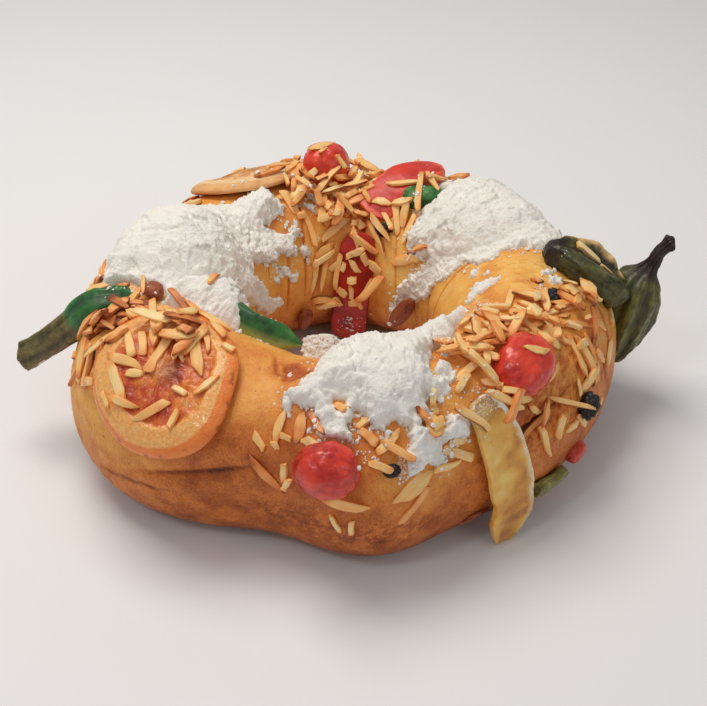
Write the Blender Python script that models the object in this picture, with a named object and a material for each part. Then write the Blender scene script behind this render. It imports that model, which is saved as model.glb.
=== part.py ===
"""Bolo rei: a ring of sweet bread under candied fruit, slivered almonds and heaps of icing sugar.

The ring stands on the XY plane. A place on its crust is a pair of angles in degrees: u goes round
the ring from +X towards +Y, and v goes round the section, 0 at the outer side, 90 on top, 180 at the
inner side and 270 underneath. Every topping is placed by such a pair, so that it follows the crust.
"""

import math

import bmesh
import bpy
import numpy as np
from mathutils import Vector
from mathutils.bvhtree import BVHTree

MM = 0.001

# Ring of dough: radii of its outer and inner side at the waist, and its height
RING_OUTER = 129 * MM
RING_INNER = 45 * MM
RING_HEIGHT = 78 * MM
WAIST_SHARE = 0.45
SOLE_DEPTH = 1.05
TOP_SQUARENESS = 2.15
SOLE_SQUARENESS = 2.35
RING_STEPS = 56
SECTION_STEPS = 20
# Usual distance of the crust from the axis of the ring, and from the middle of the section
CRUST_RADIUS = 86 * MM
SECTION_RADIUS = 39 * MM

# Middle of the hole, seen from the middle of the dressed bread's footprint
RING_PLACE = (-1.48 * MM, 3.36 * MM, 0.0)

# Swellings and pinches of the hand-shaped ring: angle and spread in degrees, then what is added
# to the outer radius, the inner radius and the height, in mm
SWELLS = (
    (190, 13, -3, 0, 0),
    (212, 13, 5, 0, 1),
    (255, 13, -16, 0, -2),
    (275, 13, 6, -1, 0),
    (295, 13, -11, 0, 0),
    (316, 13, -6, 1, -1),
    (338, 13, -4, 0, 0),
    (95, 40, 0, 6, 0),
    (30, 16, -3, 0, 1),
    (62, 14, 3, -2, 0),
    (88, 10, -4, 3, -3),
    (122, 15, 2, -2, 0),
    (150, 14, -4, 0, -1),
)

# Folds and dents of the crust: u, v and turn in degrees, then length, width and depth in mm
FOLDS = (
    (82, 138, 90, 62, 12, 4.5),
    (104, 160, 62, 26, 4, 2.2),
    (128, 150, 75, 40, 7, 2.4),
    (240, 14, 24, 40, 4, 2.2),
    (314, 28, 12, 44, 6, 4.0),
    (254, 88, 0, 14, 7, 1.6),
    (40, 20, 70, 50, 8, 3.0),
    (150, 22, 115, 46, 8, 2.6),
)

# Clearance between neighbouring pieces, and under the wide heaps of sugar
GAP = 0.7 * MM
HEAP_GAP = 1.7 * MM
CUT_GAP = 0.45 * MM

# Edges that turn more than this are shaded as edges
SHARP_ANGLE = math.radians(38)

# Heaps of icing sugar: each blob has u, v, its reach along the ring and across it, and its depth, in mm
SUGAR_EDGE = 0.9 * MM
SUGAR_HEAPS = {
    "sugar_left": (
        (167, 96, 34, 30, 14),
        (150, 108, 26, 24, 7),
        (182, 82, 18, 19, 5),
        (122, 112, 24, 13, 5),
        (121, 141, 14, 10, 3.5),
        (139, 138, 16, 12, 3.5),
        (160, 140, 24, 14, 4),
    ),
    "sugar_right": (
        (37, 95, 30, 28, 11),
        (20, 80, 22, 15, 4),
        (48, 120, 20, 24, 5),
        (57, 146, 10, 22, 3.5),
    ),
    "sugar_front": (
        (280, 92, 30, 24, 12),
        (264, 76, 19, 14, 6),
        (302, 112, 26, 14, 6),
        (326, 115, 26, 12, 4),
        (284, 52, 12, 22, 4),
        (297, 50, 15, 10, 4),
        (270, 56, 9, 12, 4),
    ),
}
HEAP_SEGMENTS = 28
HEAP_RINGS = 12

# Slivered almonds: their usual size, and the drifts in which they lie
SLIVER_LENGTH = 17 * MM
SLIVER_WIDTH = 3.6 * MM
SLIVER_DEPTH = 2.3 * MM
SLIVER_CLEARANCE = 0.5 * MM
SLIVER_BEND = 0.02
SLIVER_SEED = 12
LOWEST_SLIVER = 6 * MM
# Farther from the crust than any topping stands
TOPPING_REACH = 30 * MM
# Each drift has u, v, its spread in degrees along both, and a count
DRIFTS = (
    (84, 112, 11, 24, 15),
    (103, 84, 10, 12, 7),
    (100, 138, 7, 10, 5),
    (204, 72, 9, 20, 9),
    (332, 66, 16, 22, 13),
    (330, 28, 9, 12, 8),
    (352, 52, 7, 14, 5),
    (88, 166, 12, 12, 6),
    (60, 40, 26, 22, 10),
    (125, 42, 22, 20, 9),
    (258, 50, 4, 8, 5),
    (284, 46, 8, 9, 6),
    (272, 2, 6, 5, 3),
)
# The largest slivers and flakes: u, v and turn in degrees, then length and width in mm
LARGE_SLIVERS = (
    (253, 23, 140, 15, 4),
    (283, 20, 25, 17, 6),
    (283, 9, 45, 19, 5),
    (271, 14, 155, 18, 5),
    (293, 32, 145, 16, 3),
    (316, 25, 15, 20, 3),
    (316, 12, 95, 18, 4),
    (325, 28, 145, 22, 3),
    (335, 40, 95, 24, 4),
    (327, 77, 145, 19, 5),
    (338, 56, 130, 16, 4),
    (324, 94, 135, 20, 4),
    (305, 78, 10, 18, 4),
    (110, 133, 95, 24, 4),
    (92, 114, 55, 17, 5),
    (95, 130, 45, 16, 6),
    (76, 138, 125, 20, 5),
    (53, 151, 20, 15, 4),
)
# Slivers on the front slice of orange, in the same terms
ORANGE_SLIVERS = (
    (220, 46, 145, 16, 4),
    (226, 40, 15, 12, 3),
    (230, 44, 50, 15, 4),
    (221, 67, 95, 18, 4),
    (220, 82, 105, 13, 5),
    (230, 80, 120, 20, 5),
    (225, 85, 130, 12, 4),
    (238, 62, 60, 12, 3),
    (215, 66, 175, 12, 4),
)


def smooth_step(value, low, high):
    """0 below low, 1 above high, and a smooth climb between them."""
    share = np.clip((value - low) / (high - low), 0, 1)
    return share * share * (3 - 2 * share)


def angle_between(first, second):
    """The signed difference of two angles in degrees, from -180 to 180."""
    return (first - second + 180) % 360 - 180


def ring_sizes(u):
    """The outer radius, inner radius and height of the dough at angle u."""
    outer = RING_OUTER + 0 * u
    inner = RING_INNER + 0 * u
    height = RING_HEIGHT + 0 * u
    for at, spread, more_outer, more_inner, more_height in SWELLS:
        bell = np.exp(-0.5 * (angle_between(u, at) / spread) ** 2)
        outer = outer + more_outer * MM * bell
        inner = inner + more_inner * MM * bell
        height = height + more_height * MM * bell
    return outer, inner, height


def relief(u, v):
    """How far the crust stands proud of the smooth section, from its folds and its slow unevenness."""
    a, b = np.radians(u), np.radians(v)
    rise = 0.9 * MM * np.sin(5 * a + 2 * b + 0.6) * np.sin(3 * b - 2 * a)
    rise = rise + 0.6 * MM * np.sin(9 * a - 3 * b + 2.1)
    along_ring = math.radians(CRUST_RADIUS)
    along_section = math.radians(SECTION_RADIUS)
    for at_u, at_v, turn, length, width, depth in FOLDS:
        x = angle_between(u, at_u) * along_ring
        y = angle_between(v, at_v) * along_section
        c, s = math.cos(math.radians(turn)), math.sin(math.radians(turn))
        along, across = x * c + y * s, y * c - x * s
        lengthwise = np.exp(-((2 * along / (length * MM)) ** 4))
        rise = rise - depth * MM * lengthwise * np.exp(-((across / (width * MM)) ** 2))
    return rise * smooth_step(np.sin(b), -0.75, -0.2)


def section_middle(u):
    """The radius and height of the section's middle, from which v is counted."""
    outer, inner, height = ring_sizes(u)
    return (outer + inner) / 2, WAIST_SHARE * height


def section_radius(u, v):
    """How far the crust lies from the section's middle in direction v: a superellipse and its relief."""
    outer, inner, height = ring_sizes(u)
    half = (outer - inner) / 2
    waist = WAIST_SHARE * height
    cosine, sine = np.cos(np.radians(v)), np.sin(np.radians(v))
    upper = smooth_step(sine, -0.25, 0.25)
    power = SOLE_SQUARENESS + (TOP_SQUARENESS - SOLE_SQUARENESS) * upper
    reach = waist * SOLE_DEPTH + (height - waist - waist * SOLE_DEPTH) * upper
    smooth = (np.abs(cosine / half) ** power + np.abs(sine / reach) ** power) ** (-1 / power)
    return smooth + relief(u, v)


def crust(u, v, lift=0.0):
    """Points on the crust, or lifted off it, as an array. The sole is cut off flat at the floor."""
    u, v, lift = np.broadcast_arrays(np.asarray(u, float), np.asarray(v, float), lift)
    middle, waist = section_middle(u)
    reach = section_radius(u, v) + lift
    radius = middle + reach * np.cos(np.radians(v))
    z = np.maximum(waist + reach * np.sin(np.radians(v)), 0)
    a = np.radians(u)
    return np.stack([radius * np.cos(a), radius * np.sin(a), z], -1)


def pushed_out(points, gap=GAP):
    """The points, with those inside the dough or too near it moved straight out of the section."""
    u = np.degrees(np.arctan2(points[:, 1], points[:, 0]))
    middle, waist = section_middle(u)
    outwards = np.hypot(points[:, 0], points[:, 1]) - middle
    upwards = points[:, 2] - waist
    v = np.degrees(np.arctan2(upwards, outwards))
    reach = np.hypot(outwards, upwards)
    clear = np.maximum(reach, section_radius(u, v) + gap)
    moved = points.copy()
    radius = middle + clear * np.cos(np.radians(v))
    moved[:, 0] = radius * np.cos(np.radians(u))
    moved[:, 1] = radius * np.sin(np.radians(u))
    moved[:, 2] = np.maximum(waist + clear * np.sin(np.radians(v)), gap)
    return moved


def seat(u, v, turn=0.0):
    """A point of the crust, and three axes there: along the ring, across it, both turned, and outwards."""
    step = 1.0
    spot = crust(u, v)
    along = crust(u + step, v) - crust(u - step, v)
    across = crust(u, v + step) - crust(u, v - step)
    along = along / np.linalg.norm(along)
    out = np.cross(along, across)
    out = out / np.linalg.norm(out)
    across = np.cross(out, along)
    c, s = math.cos(math.radians(turn)), math.sin(math.radians(turn))
    return spot, along * c + across * s, across * c - along * s, out


def patch_angles(at, turn, x, y):
    """The u and v of a place x along and y across a patch round the crust point at."""
    c, s = math.cos(math.radians(turn)), math.sin(math.radians(turn))
    along, across = x * c - y * s, x * s + y * c
    section = section_radius(np.float64(at[0]), np.float64(at[1]))
    v = at[1] + np.degrees(across / section)
    spot = crust(at[0], v)
    return at[0] + np.degrees(along / np.hypot(spot[..., 0], spot[..., 1])), v


def wrinkles(way, count, seed):
    """An uneven field over the directions of a sphere, about -1 to 1, from a few slanting waves."""
    draw = np.random.default_rng(seed)
    field = np.zeros(len(way))
    for _ in range(5):
        axis = draw.normal(size=3)
        axis = axis / np.linalg.norm(axis)
        field += np.sin(count * (way @ axis) + draw.uniform(0, 2 * math.pi))
    return field / 3


def make_material(name, colour, roughness):
    """A Principled BSDF with one colour, given as sRGB hex."""
    levels = [int(colour[i : i + 2], 16) / 255 for i in (0, 2, 4)]
    linear = [c / 12.92 if c <= 0.04045 else ((c + 0.055) / 1.055) ** 2.4 for c in levels]
    material = bpy.data.materials.new(name)
    material.use_nodes = True
    shader = material.node_tree.nodes["Principled BSDF"]
    shader.inputs["Base Color"].default_value = (*linear, 1)
    shader.inputs["Roughness"].default_value = roughness
    shader.inputs["Metallic"].default_value = 0.0
    return material


MATERIALS = {
    "crust": ("D8994F", 0.55),
    "icing_sugar": ("F4F2EC", 0.95),
    "candied_orange": ("DE7F3C", 0.3),
    "candied_cherry": ("C8232A", 0.25),
    "candied_pumpkin": ("C9382F", 0.3),
    "candied_green": ("1F6B35", 0.3),
    "candied_fig": ("4A5524", 0.35),
    "candied_citron": ("C9A354", 0.3),
    "almond_skin": ("9A5A33", 0.6),
    "raisin": ("221A1C", 0.5),
}


def coordinates(mesh):
    """The mesh's vertices as an array."""
    flat = np.empty(len(mesh.vertices) * 3, np.float32)
    mesh.vertices.foreach_get("co", flat)
    return flat.reshape(-1, 3).astype(float)


def finish_piece(piece, name, points, material):
    """Gives a new primitive its points, name, collection, parent and material."""
    mesh = piece.data
    mesh.vertices.foreach_set("co", np.ascontiguousarray(points, np.float32).ravel())
    mesh.update()
    shape = bmesh.new()
    shape.from_mesh(mesh)
    bmesh.ops.recalc_face_normals(shape, faces=shape.faces)
    shape.to_mesh(mesh)
    shape.free()
    mesh.shade_smooth()
    mesh.materials.clear()
    mesh.materials.append(bpy.data.materials[material])
    piece.name = name
    mesh.name = name
    for collection in list(piece.users_collection):
        collection.objects.unlink(piece)
    bpy.data.collections["bolo_rei"].objects.link(piece)
    piece.parent = bpy.data.objects["ring_centre"]
    return piece


def moulded_ball(name, segments, rings, shape, material):
    """A UV sphere whose points are moved by shape, a function of their directions."""
    bpy.ops.mesh.primitive_uv_sphere_add(segments=segments, ring_count=rings, radius=1)
    piece = bpy.context.active_object
    return finish_piece(piece, name, shape(coordinates(piece.data)), material)


def make_dough():
    """The ring itself: a torus whose points are moved to the crust."""
    bpy.ops.mesh.primitive_torus_add(
        major_segments=RING_STEPS, minor_segments=SECTION_STEPS, major_radius=1, minor_radius=0.5
    )
    piece = bpy.context.active_object
    points = coordinates(piece.data)
    radius = np.hypot(points[:, 0], points[:, 1])
    u = np.degrees(np.arctan2(points[:, 1], points[:, 0]))
    v = np.degrees(np.arctan2(points[:, 2], radius - 1))
    return finish_piece(piece, "bread", crust(u, v), "crust")


def heap_depth(blobs, u, v):
    """The depth of a heap of sugar at a place on the crust: the deepest of its rounded blobs."""
    depth = np.zeros(np.broadcast(u, v).shape)
    for at_u, at_v, along, across, deep in blobs:
        radius = CRUST_RADIUS + SECTION_RADIUS * math.cos(math.radians(at_v))
        x = np.radians(angle_between(u, at_u)) * radius / (along * MM)
        y = np.radians(angle_between(v, at_v)) * SECTION_RADIUS / (across * MM)
        blob = deep * MM * np.clip(1 - x * x - y * y, 0, None) ** 0.8
        depth = np.hypot(depth, blob)
    return depth


def make_heap(name, blobs, grow=0.0):
    """A heap of sugar: a sphere whose lower half is pressed on the crust and whose rim follows the blobs."""
    at = (blobs[0][0], blobs[0][1])
    bearings = np.radians(np.arange(0, 360, 360 / HEAP_SEGMENTS))
    steps = np.arange(4, 120) * MM
    x, y = np.cos(bearings)[:, None] * steps, np.sin(bearings)[:, None] * steps
    deep_enough = heap_depth(blobs, *patch_angles(at, 0, x, y)) > SUGAR_EDGE
    rim = steps[np.argmin(deep_enough, axis=1)]
    rim = 0.6 * rim + 0.2 * (np.roll(rim, 1) + np.roll(rim, -1))

    def shape(way):
        share = np.hypot(way[:, 0], way[:, 1])
        bearing = np.arctan2(way[:, 1], way[:, 0])
        reach = np.interp(bearing, bearings, rim, period=2 * math.pi)
        # The sphere's rings crowd at its equator, so their radii are spread out again.
        share = np.degrees(np.arcsin(np.clip(share, 0, 1))) / 90
        u, v = patch_angles(at, 0, np.cos(bearing) * share * reach, np.sin(bearing) * share * reach)
        depth = np.maximum(heap_depth(blobs, u, v), SUGAR_EDGE)
        lift = np.where(way[:, 2] > 1e-4, HEAP_GAP + depth, HEAP_GAP)
        lift = np.where(np.abs(way[:, 2]) <= 1e-4, HEAP_GAP + SUGAR_EDGE * 0.5, lift)
        return crust(u, v, lift + grow)

    return moulded_ball(name, HEAP_SEGMENTS, HEAP_RINGS, shape, "icing_sugar")


def make_round_fruit(name, at, turn, size, lift, material, crease, seed, grow=0.0, detail=(16, 10)):
    """A cherry, nut, raisin or lump: a creased ellipsoid sunk a little in the crust."""
    spot, along, across, out = seat(*at, turn)

    def shape(way):
        swell = 1 + crease * wrinkles(way, 5.0, seed)
        local = way * swell[:, None] * (np.array(size) * MM / 2 + grow)
        points = spot + out * lift * MM + local @ np.stack([along, across, out])
        return pushed_out(points, GAP - grow)

    return moulded_ball(name, *detail, shape, material)


def path_frames(path, sides_along):
    """Directions across a path of points and out of it, from rough outward ones."""
    ahead = np.gradient(path, axis=0)
    ahead = ahead / np.linalg.norm(ahead, axis=1)[:, None]
    across = np.cross(ahead, sides_along)
    across = across / np.linalg.norm(across, axis=1)[:, None]
    return across, np.cross(across, ahead)


def curve_through(points, count):
    """Evenly spaced points on the smooth curve through a few points (Catmull-Rom)."""
    points = np.asarray(points, float)
    before, after = 2 * points[0] - points[1], 2 * points[-1] - points[-2]
    knots = np.vstack([before, points, after])
    place = np.linspace(0, len(points) - 1, 40 * count)
    k = np.minimum(place.astype(int), len(points) - 2)
    t = (place - k)[:, None]
    a, b, c, d = knots[k], knots[k + 1], knots[k + 2], knots[k + 3]
    dense = 0.5 * (
        2 * b + (c - a) * t + (2 * a - 5 * b + 4 * c - d) * t**2 + (3 * b - a - 3 * c + d) * t**3
    )
    run = np.concatenate([[0], np.cumsum(np.linalg.norm(np.diff(dense[:, :3], axis=0), axis=1))])
    even = np.linspace(0, run[-1], count)
    return np.stack([np.interp(even, run, dense[:, i]) for i in range(dense.shape[1])], -1)


def make_strip(name, route, width, depth, taper, material, grow=0.0, spans=11):
    """A flat slice laid along a route of (u, v, lift) stations: a sphere drawn out into a long slab."""
    route = np.array(route, float)
    stations = crust(route[:, 0], route[:, 1], route[:, 2] * MM)
    outwards = crust(route[:, 0], route[:, 1], (route[:, 2] + 10) * MM) - stations
    line = curve_through(np.hstack([stations, outwards]), 80)
    path, out = line[:, :3], line[:, 3:]
    across, out = path_frames(path, out)

    def shape(way):
        # The sphere's axis becomes the strip's length, and its meridians a rounded slab.
        share = np.degrees(np.arccos(np.clip(way[:, 2], -1, 1))) / 180
        place = share * (len(path) - 1)
        station = [np.stack([np.interp(place, np.arange(len(path)), a[:, i]) for i in range(3)], -1)
                   for a in (path, across, out)]
        around = np.arctan2(way[:, 1], way[:, 0])
        c, s = np.cos(around), np.sin(around)
        side = np.sign(c) * np.abs(c) ** 0.45
        face = np.sign(s) * np.abs(s) ** 0.45
        narrow = np.interp(share, *taper)
        points = station[0] + station[1] * (side * narrow * (width * MM / 2 + grow))[:, None]
        edge = np.minimum(narrow * 2.5, 1)
        points = points + station[2] * (face * edge * (depth * MM / 2 + grow))[:, None]
        return pushed_out(points, GAP - grow)

    return moulded_ball(name, 10, spans, shape, material)


# Share of full width at shares of a strip's length
SLAB = ((0, 0.03, 0.12, 0.9, 0.97, 1), (0.3, 0.75, 1, 1, 0.75, 0.3))
POINTED = ((0, 0.05, 0.2, 0.55, 0.85, 1), (0.4, 0.85, 1, 0.8, 0.35, 0.04))
TONGUE = ((0, 0.04, 0.25, 0.6, 0.8, 0.95, 1), (0.35, 0.7, 0.95, 0.95, 1.1, 0.6, 0.2))


def make_stalked_fruit(name, path, girth, ribs, rib_depth, material, grow=0.0, detail=(16, 16)):
    """A fig or pear: a sphere drawn along a bent axis, with a girth for each share of its length."""
    path = curve_through(path, 60)
    upright = np.tile([0.0, 1.0, 0.0], (len(path), 1))
    across, out = path_frames(path, upright)

    def shape(way):
        share = np.degrees(np.arccos(np.clip(way[:, 2], -1, 1))) / 180
        place = share * (len(path) - 1)
        station = [np.stack([np.interp(place, np.arange(len(path)), a[:, i]) for i in range(3)], -1)
                   for a in (path * MM, across, out)]
        around = np.arctan2(way[:, 1], way[:, 0])
        radius = np.interp(share, *girth) * MM * (1 + rib_depth * np.cos(ribs * around)) + grow
        points = station[0] + station[1] * (np.cos(around) * radius)[:, None]
        points = points + station[2] * (np.sin(around) * radius)[:, None]
        return pushed_out(points, GAP - grow)

    return moulded_ball(name, *detail, shape, material)


# Orange slices: thickness and hollow of the flesh, in mm, and how stiffly they bridge the crust
ORANGE_DEPTH = 6.5
ORANGE_HOLLOW = 1.4
ORANGE_STIFFNESS = 0.35
ORANGE_RIND = 0.9


def make_orange_slice(name, at, turn, size, lift, grow=0.0):
    """A round slice: a flattened sphere, half draped on the crust and half flat, its flesh sunk."""
    spot, along, across, out = seat(*at, turn)
    long_radius, short_radius = size[0] * MM / 2 + grow, size[1] * MM / 2 + grow
    half_depth = ORANGE_DEPTH * MM / 2 + grow

    def shape(way):
        flat = np.degrees(np.arcsin(np.clip(np.hypot(way[:, 0], way[:, 1]), 0, 1))) / 90
        share = flat**0.75
        bearing = np.arctan2(way[:, 1], way[:, 0])
        uneven = 1 + 0.025 * np.sin(3 * bearing + 1) + 0.015 * np.sin(5 * bearing)
        x = np.cos(bearing) * share * long_radius * uneven
        y = np.sin(bearing) * share * short_radius * uneven
        side = np.sign(way[:, 2]) * (np.abs(way[:, 2]) > 1e-4)
        rim = np.sqrt(np.clip(1 - share**8, 0, 1))
        hollow = ORANGE_HOLLOW * MM * smooth_step(ORANGE_RIND - share, 0.04, 0.22) * (side > 0)
        height = lift * MM + half_depth * (1 + side * rim) - hollow
        u, v = patch_angles(at, turn, x, y)
        draped = crust(u, v, height)
        level = spot + np.outer(x, along) + np.outer(y, across) + np.outer(height, out)
        points = draped + ORANGE_STIFFNESS * (level - draped)
        return pushed_out(points, GAP - grow)

    return moulded_ball(name, 24, 12, shape, "candied_orange")


FIG_GIRTH = ((0, 0.05, 0.2, 0.4, 0.56, 0.66, 0.72, 0.78, 0.92, 0.97, 1), (1, 6, 11.5, 13.8, 12.6, 9.5, 5, 3, 2.6, 4.2, 1))
FIG_AXIS = ((130, 12, 17), (133.5, 12, 38), (138, 12, 58), (142.5, 12, 70), (147, 12, 79), (153.5, 12, 86))
PEAR_GIRTH = ((0, 0.08, 0.25, 0.42, 0.52, 0.65, 0.85, 0.97, 1), (1, 6.5, 9.5, 9, 7.2, 6.6, 6.6, 7.2, 2.5))
PEAR_AXIS = ((-92, -22, 76), (-111, -20.5, 68.5), (-121.6, -20, 61), (-136, -20, 50), (-150, -20, 41))

CHERRY_CREASE = 0.045
RAISIN_CREASE = 0.16
NUT_CREASE = 0.03

# Round pieces: name, u and v, turn, size along, across and outwards in mm, lift in mm, material, crease
ROUND_PIECES = (
    ("cherry_front", (267.5, 33), 0, (27, 25, 24), 5, "candied_cherry", CHERRY_CREASE),
    ("cherry_right", (318, 60), 20, (25, 22, 20), 2, "candied_cherry", CHERRY_CREASE),
    ("cherry_back", (97, 84), 0, (25, 23, 26), 6, "candied_cherry", CHERRY_CREASE),
    ("cherry_left", (158, 56), 0, (24, 18, 10), 1.4, "candied_cherry", CHERRY_CREASE),
    ("green_chunk", (60, 106), 30, (20, 12, 11), 2, "candied_green", 0.06),
    ("sugared_chunk", (260, 127), 10, (17, 13, 13), 4, "icing_sugar", 0.08),
    ("raisin_right", (330, 15), 40, (12, 10, 9), 1, "raisin", RAISIN_CREASE),
    ("raisin_shoulder", (346, 76), 0, (13, 8, 7), 0.5, "raisin", RAISIN_CREASE),
    ("raisin_left", (208.5, 48.5), 30, (9, 8, 7), 1, "raisin", RAISIN_CREASE),
    ("raisin_hollow", (71, 134), 0, (10, 8, 8), 0.5, "raisin", RAISIN_CREASE),
    ("raisin_front", (279, 32), 0, (8, 6, 6), 0.5, "raisin", RAISIN_CREASE),
    ("brown_almond_crest", (196, 89), 15, (13, 9, 7), 3, "almond_skin", NUT_CREASE),
    ("brown_almond_low", (201, 80), 60, (14, 8, 5), 2, "almond_skin", NUT_CREASE),
    ("brown_almond_edge", (197.5, 49), 70, (15, 8, 4.5), 2, "almond_skin", NUT_CREASE),
    ("almond_inner_right", (49.5, 184), 55, (25, 9, 7), 5, "almond_skin", NUT_CREASE),
    ("almond_inner_left", (117, 197), 80, (14, 8, 6), 4, "almond_skin", NUT_CREASE),
    ("red_dice", (328, -20), 0, (12, 8, 8), 1, "candied_pumpkin", 0.06),
)

ORANGE_SLICES = (
    ("orange_slice_front", (227.4, 59.9), -42, (73, 59), 1.0),
    ("orange_slice_back", (117, 62), 0, (67, 64), 1.0),
)

# Strips: name, route of u, v and lift, width and depth in mm, outline and material
STRIPS = (
    ("red_slab", ((62, 74, 4), (70, 96, 4.6), (79, 124, 3.4)), 21, 6.5, SLAB, "candied_pumpkin"),
    (
        "red_strip",
        ((82, 136, 4.6), (84.5, 156, 4.6), (86.5, 182, 4.2), (88, 203, 5.2), (89, 219, 10)),
        18.5,
        4,
        SLAB,
        "candied_pumpkin",
    ),
    (
        "green_strip",
        ((194, 122, 3), (208, 126, 4), (222, 129, 4.6), (235, 132, 5.2), (248, 135, 6)),
        11,
        12,
        POINTED,
        "candied_green",
    ),
    (
        "citron_strip",
        ((303, 60, 3), (304, 40, 3.4), (305, 14, 3.4), (305.5, -14, 5), (305.5, -34, 11), (305.5, -42, 14)),
        23,
        4.2,
        TONGUE,
        "candied_citron",
    ),
    ("green_rind", ((313, -22, 3), (318, -25, 3.2), (323, -24, 3)), 8, 5, SLAB, "candied_fig"),
)

FIG_HALF_ROUTE = ((4.5, 83, 5), (3.4, 63, 6), (2.4, 42, 6.4), (2, 25, 7))
FIG_HALF_WIDTH = 24
FIG_HALF_DEPTH = 12


def cutter(piece):
    """Marks a piece as a cutter, which is not part of the bread."""
    piece.hide_render = True
    piece.display_type = "WIRE"
    for collection in list(piece.users_collection):
        collection.objects.unlink(piece)
    bpy.data.collections["cutters"].objects.link(piece)
    return piece


def cut(piece, *tools):
    """Cuts the shapes of other pieces out of a piece."""
    for tool in tools:
        modifier = piece.modifiers.new("cut_" + tool.name, "BOOLEAN")
        modifier.operation = "DIFFERENCE"
        # The exact solver leaves nothing of this heap, whose rim is thin.
        modifier.solver = "MANIFOLD" if piece.name == "sugar_front" else "EXACT"
        modifier.object = tool


def applied(piece):
    """Applies a piece's modifiers and drops any loose scrap but the largest body."""
    graph = bpy.context.evaluated_depsgraph_get()
    mesh = bpy.data.meshes.new_from_object(piece.evaluated_get(graph), depsgraph=graph)
    piece.modifiers.clear()
    piece.data = mesh
    shape = bmesh.new()
    shape.from_mesh(mesh)
    bmesh.ops.remove_doubles(shape, verts=shape.verts, dist=1e-6)
    left, bodies = set(shape.verts), []
    while left:
        body, front = set(), [next(iter(left))]
        while front:
            vertex = front.pop()
            if vertex in left:
                left.discard(vertex)
                body.add(vertex)
                front.extend(edge.other_vert(vertex) for edge in vertex.link_edges)
        bodies.append(body)
    largest = max(bodies, key=len)
    for body in bodies:
        if body is not largest:
            bmesh.ops.delete(shape, geom=list(body), context="VERTS")
    shape.to_mesh(mesh)
    shape.free()
    mesh.set_sharp_from_angle(angle=SHARP_ANGLE)
    return piece


def sliver_points(local, place, turn, tip, size, bend):
    """A cube's points drawn out into an almond sliver: pointed, bent, and seated on a spot of crust."""
    spot, along, across, out = place
    length, width, depth = size
    x = local[:, 0] * length / 2
    narrow = 1 - 0.5 * np.abs(local[:, 0]) ** 2
    y = local[:, 1] * width / 2 * narrow + bend * length * (local[:, 0] ** 2 - 0.4)
    z = local[:, 2] * depth / 2 * narrow
    c, s = math.cos(math.radians(turn)), math.sin(math.radians(turn))
    x, y = x * c - y * s, x * s + y * c
    z = z + depth * 0.22 + tip * x
    return spot + np.outer(x, along) + np.outer(y, across) + np.outer(z, out)


def make_sliver(place, turn, tip, size, bend):
    """One almond sliver: a cube with two more cuts along its length."""
    bpy.ops.mesh.primitive_cube_add(size=2)
    piece = bpy.context.active_object
    shape = bmesh.new()
    shape.from_mesh(piece.data)
    lengthwise = [e for e in shape.edges if abs(e.verts[0].co.x - e.verts[1].co.x) > 1]
    bmesh.ops.subdivide_edges(shape, edges=lengthwise, cuts=2)
    shape.to_mesh(piece.data)
    shape.free()
    points = sliver_points(coordinates(piece.data), place, turn, tip, size, bend)
    return finish_piece(piece, "sliver", points, "crust")


def tree_of(piece):
    """A search tree of a piece's surface, in its own frame."""
    graph = bpy.context.evaluated_depsgraph_get()
    return BVHTree.FromObject(piece, graph)


def is_clear(points, trees, gap):
    """Whether every point lies outside the other pieces and farther from them than gap."""
    upwards = Vector((0.21, 0.13, 0.97)).normalized()
    for tree in trees:
        for point in map(Vector, points):
            if tree.find_nearest(point)[3] < gap:
                return False
            wall, normal, _, _ = tree.ray_cast(point, upwards)
            if wall is not None and normal.dot(upwards) > 0:
                return False
    return True


def sliver_draws():
    """Every sliver of the drifts as u, v, turn, tip, size and bend, in a fixed order."""
    draw = np.random.default_rng(SLIVER_SEED)
    for at_u, at_v, spread_u, spread_v, count in DRIFTS:
        for _ in range(count):
            u, v = draw.normal(at_u, spread_u), draw.normal(at_v, spread_v)
            turn, tip = draw.uniform(0, 180), draw.normal(0, 0.06)
            stretch, girth, bend = draw.uniform(0.6, 1.2), draw.uniform(0.8, 1.2), draw.normal(0, 0.04)
            size = (SLIVER_LENGTH * stretch, SLIVER_WIDTH * girth, SLIVER_DEPTH)
            yield u, v, turn, tip, size, bend


def large_draws(slivers):
    """Slivers with a place of their own, in the same terms as those of the drifts."""
    for u, v, turn, length, width in slivers:
        yield u, v, turn, 0.0, (length * MM, width * MM, SLIVER_DEPTH), SLIVER_BEND


def surface_spot(tree, place):
    """The seat moved along its outward axis onto a piece's surface, or None where it misses the piece."""
    spot, along, across, out = place
    hit = tree.ray_cast(Vector(spot + out * TOPPING_REACH), Vector(-out))[0]
    return None if hit is None else (np.array(hit), along, across, out)


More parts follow.
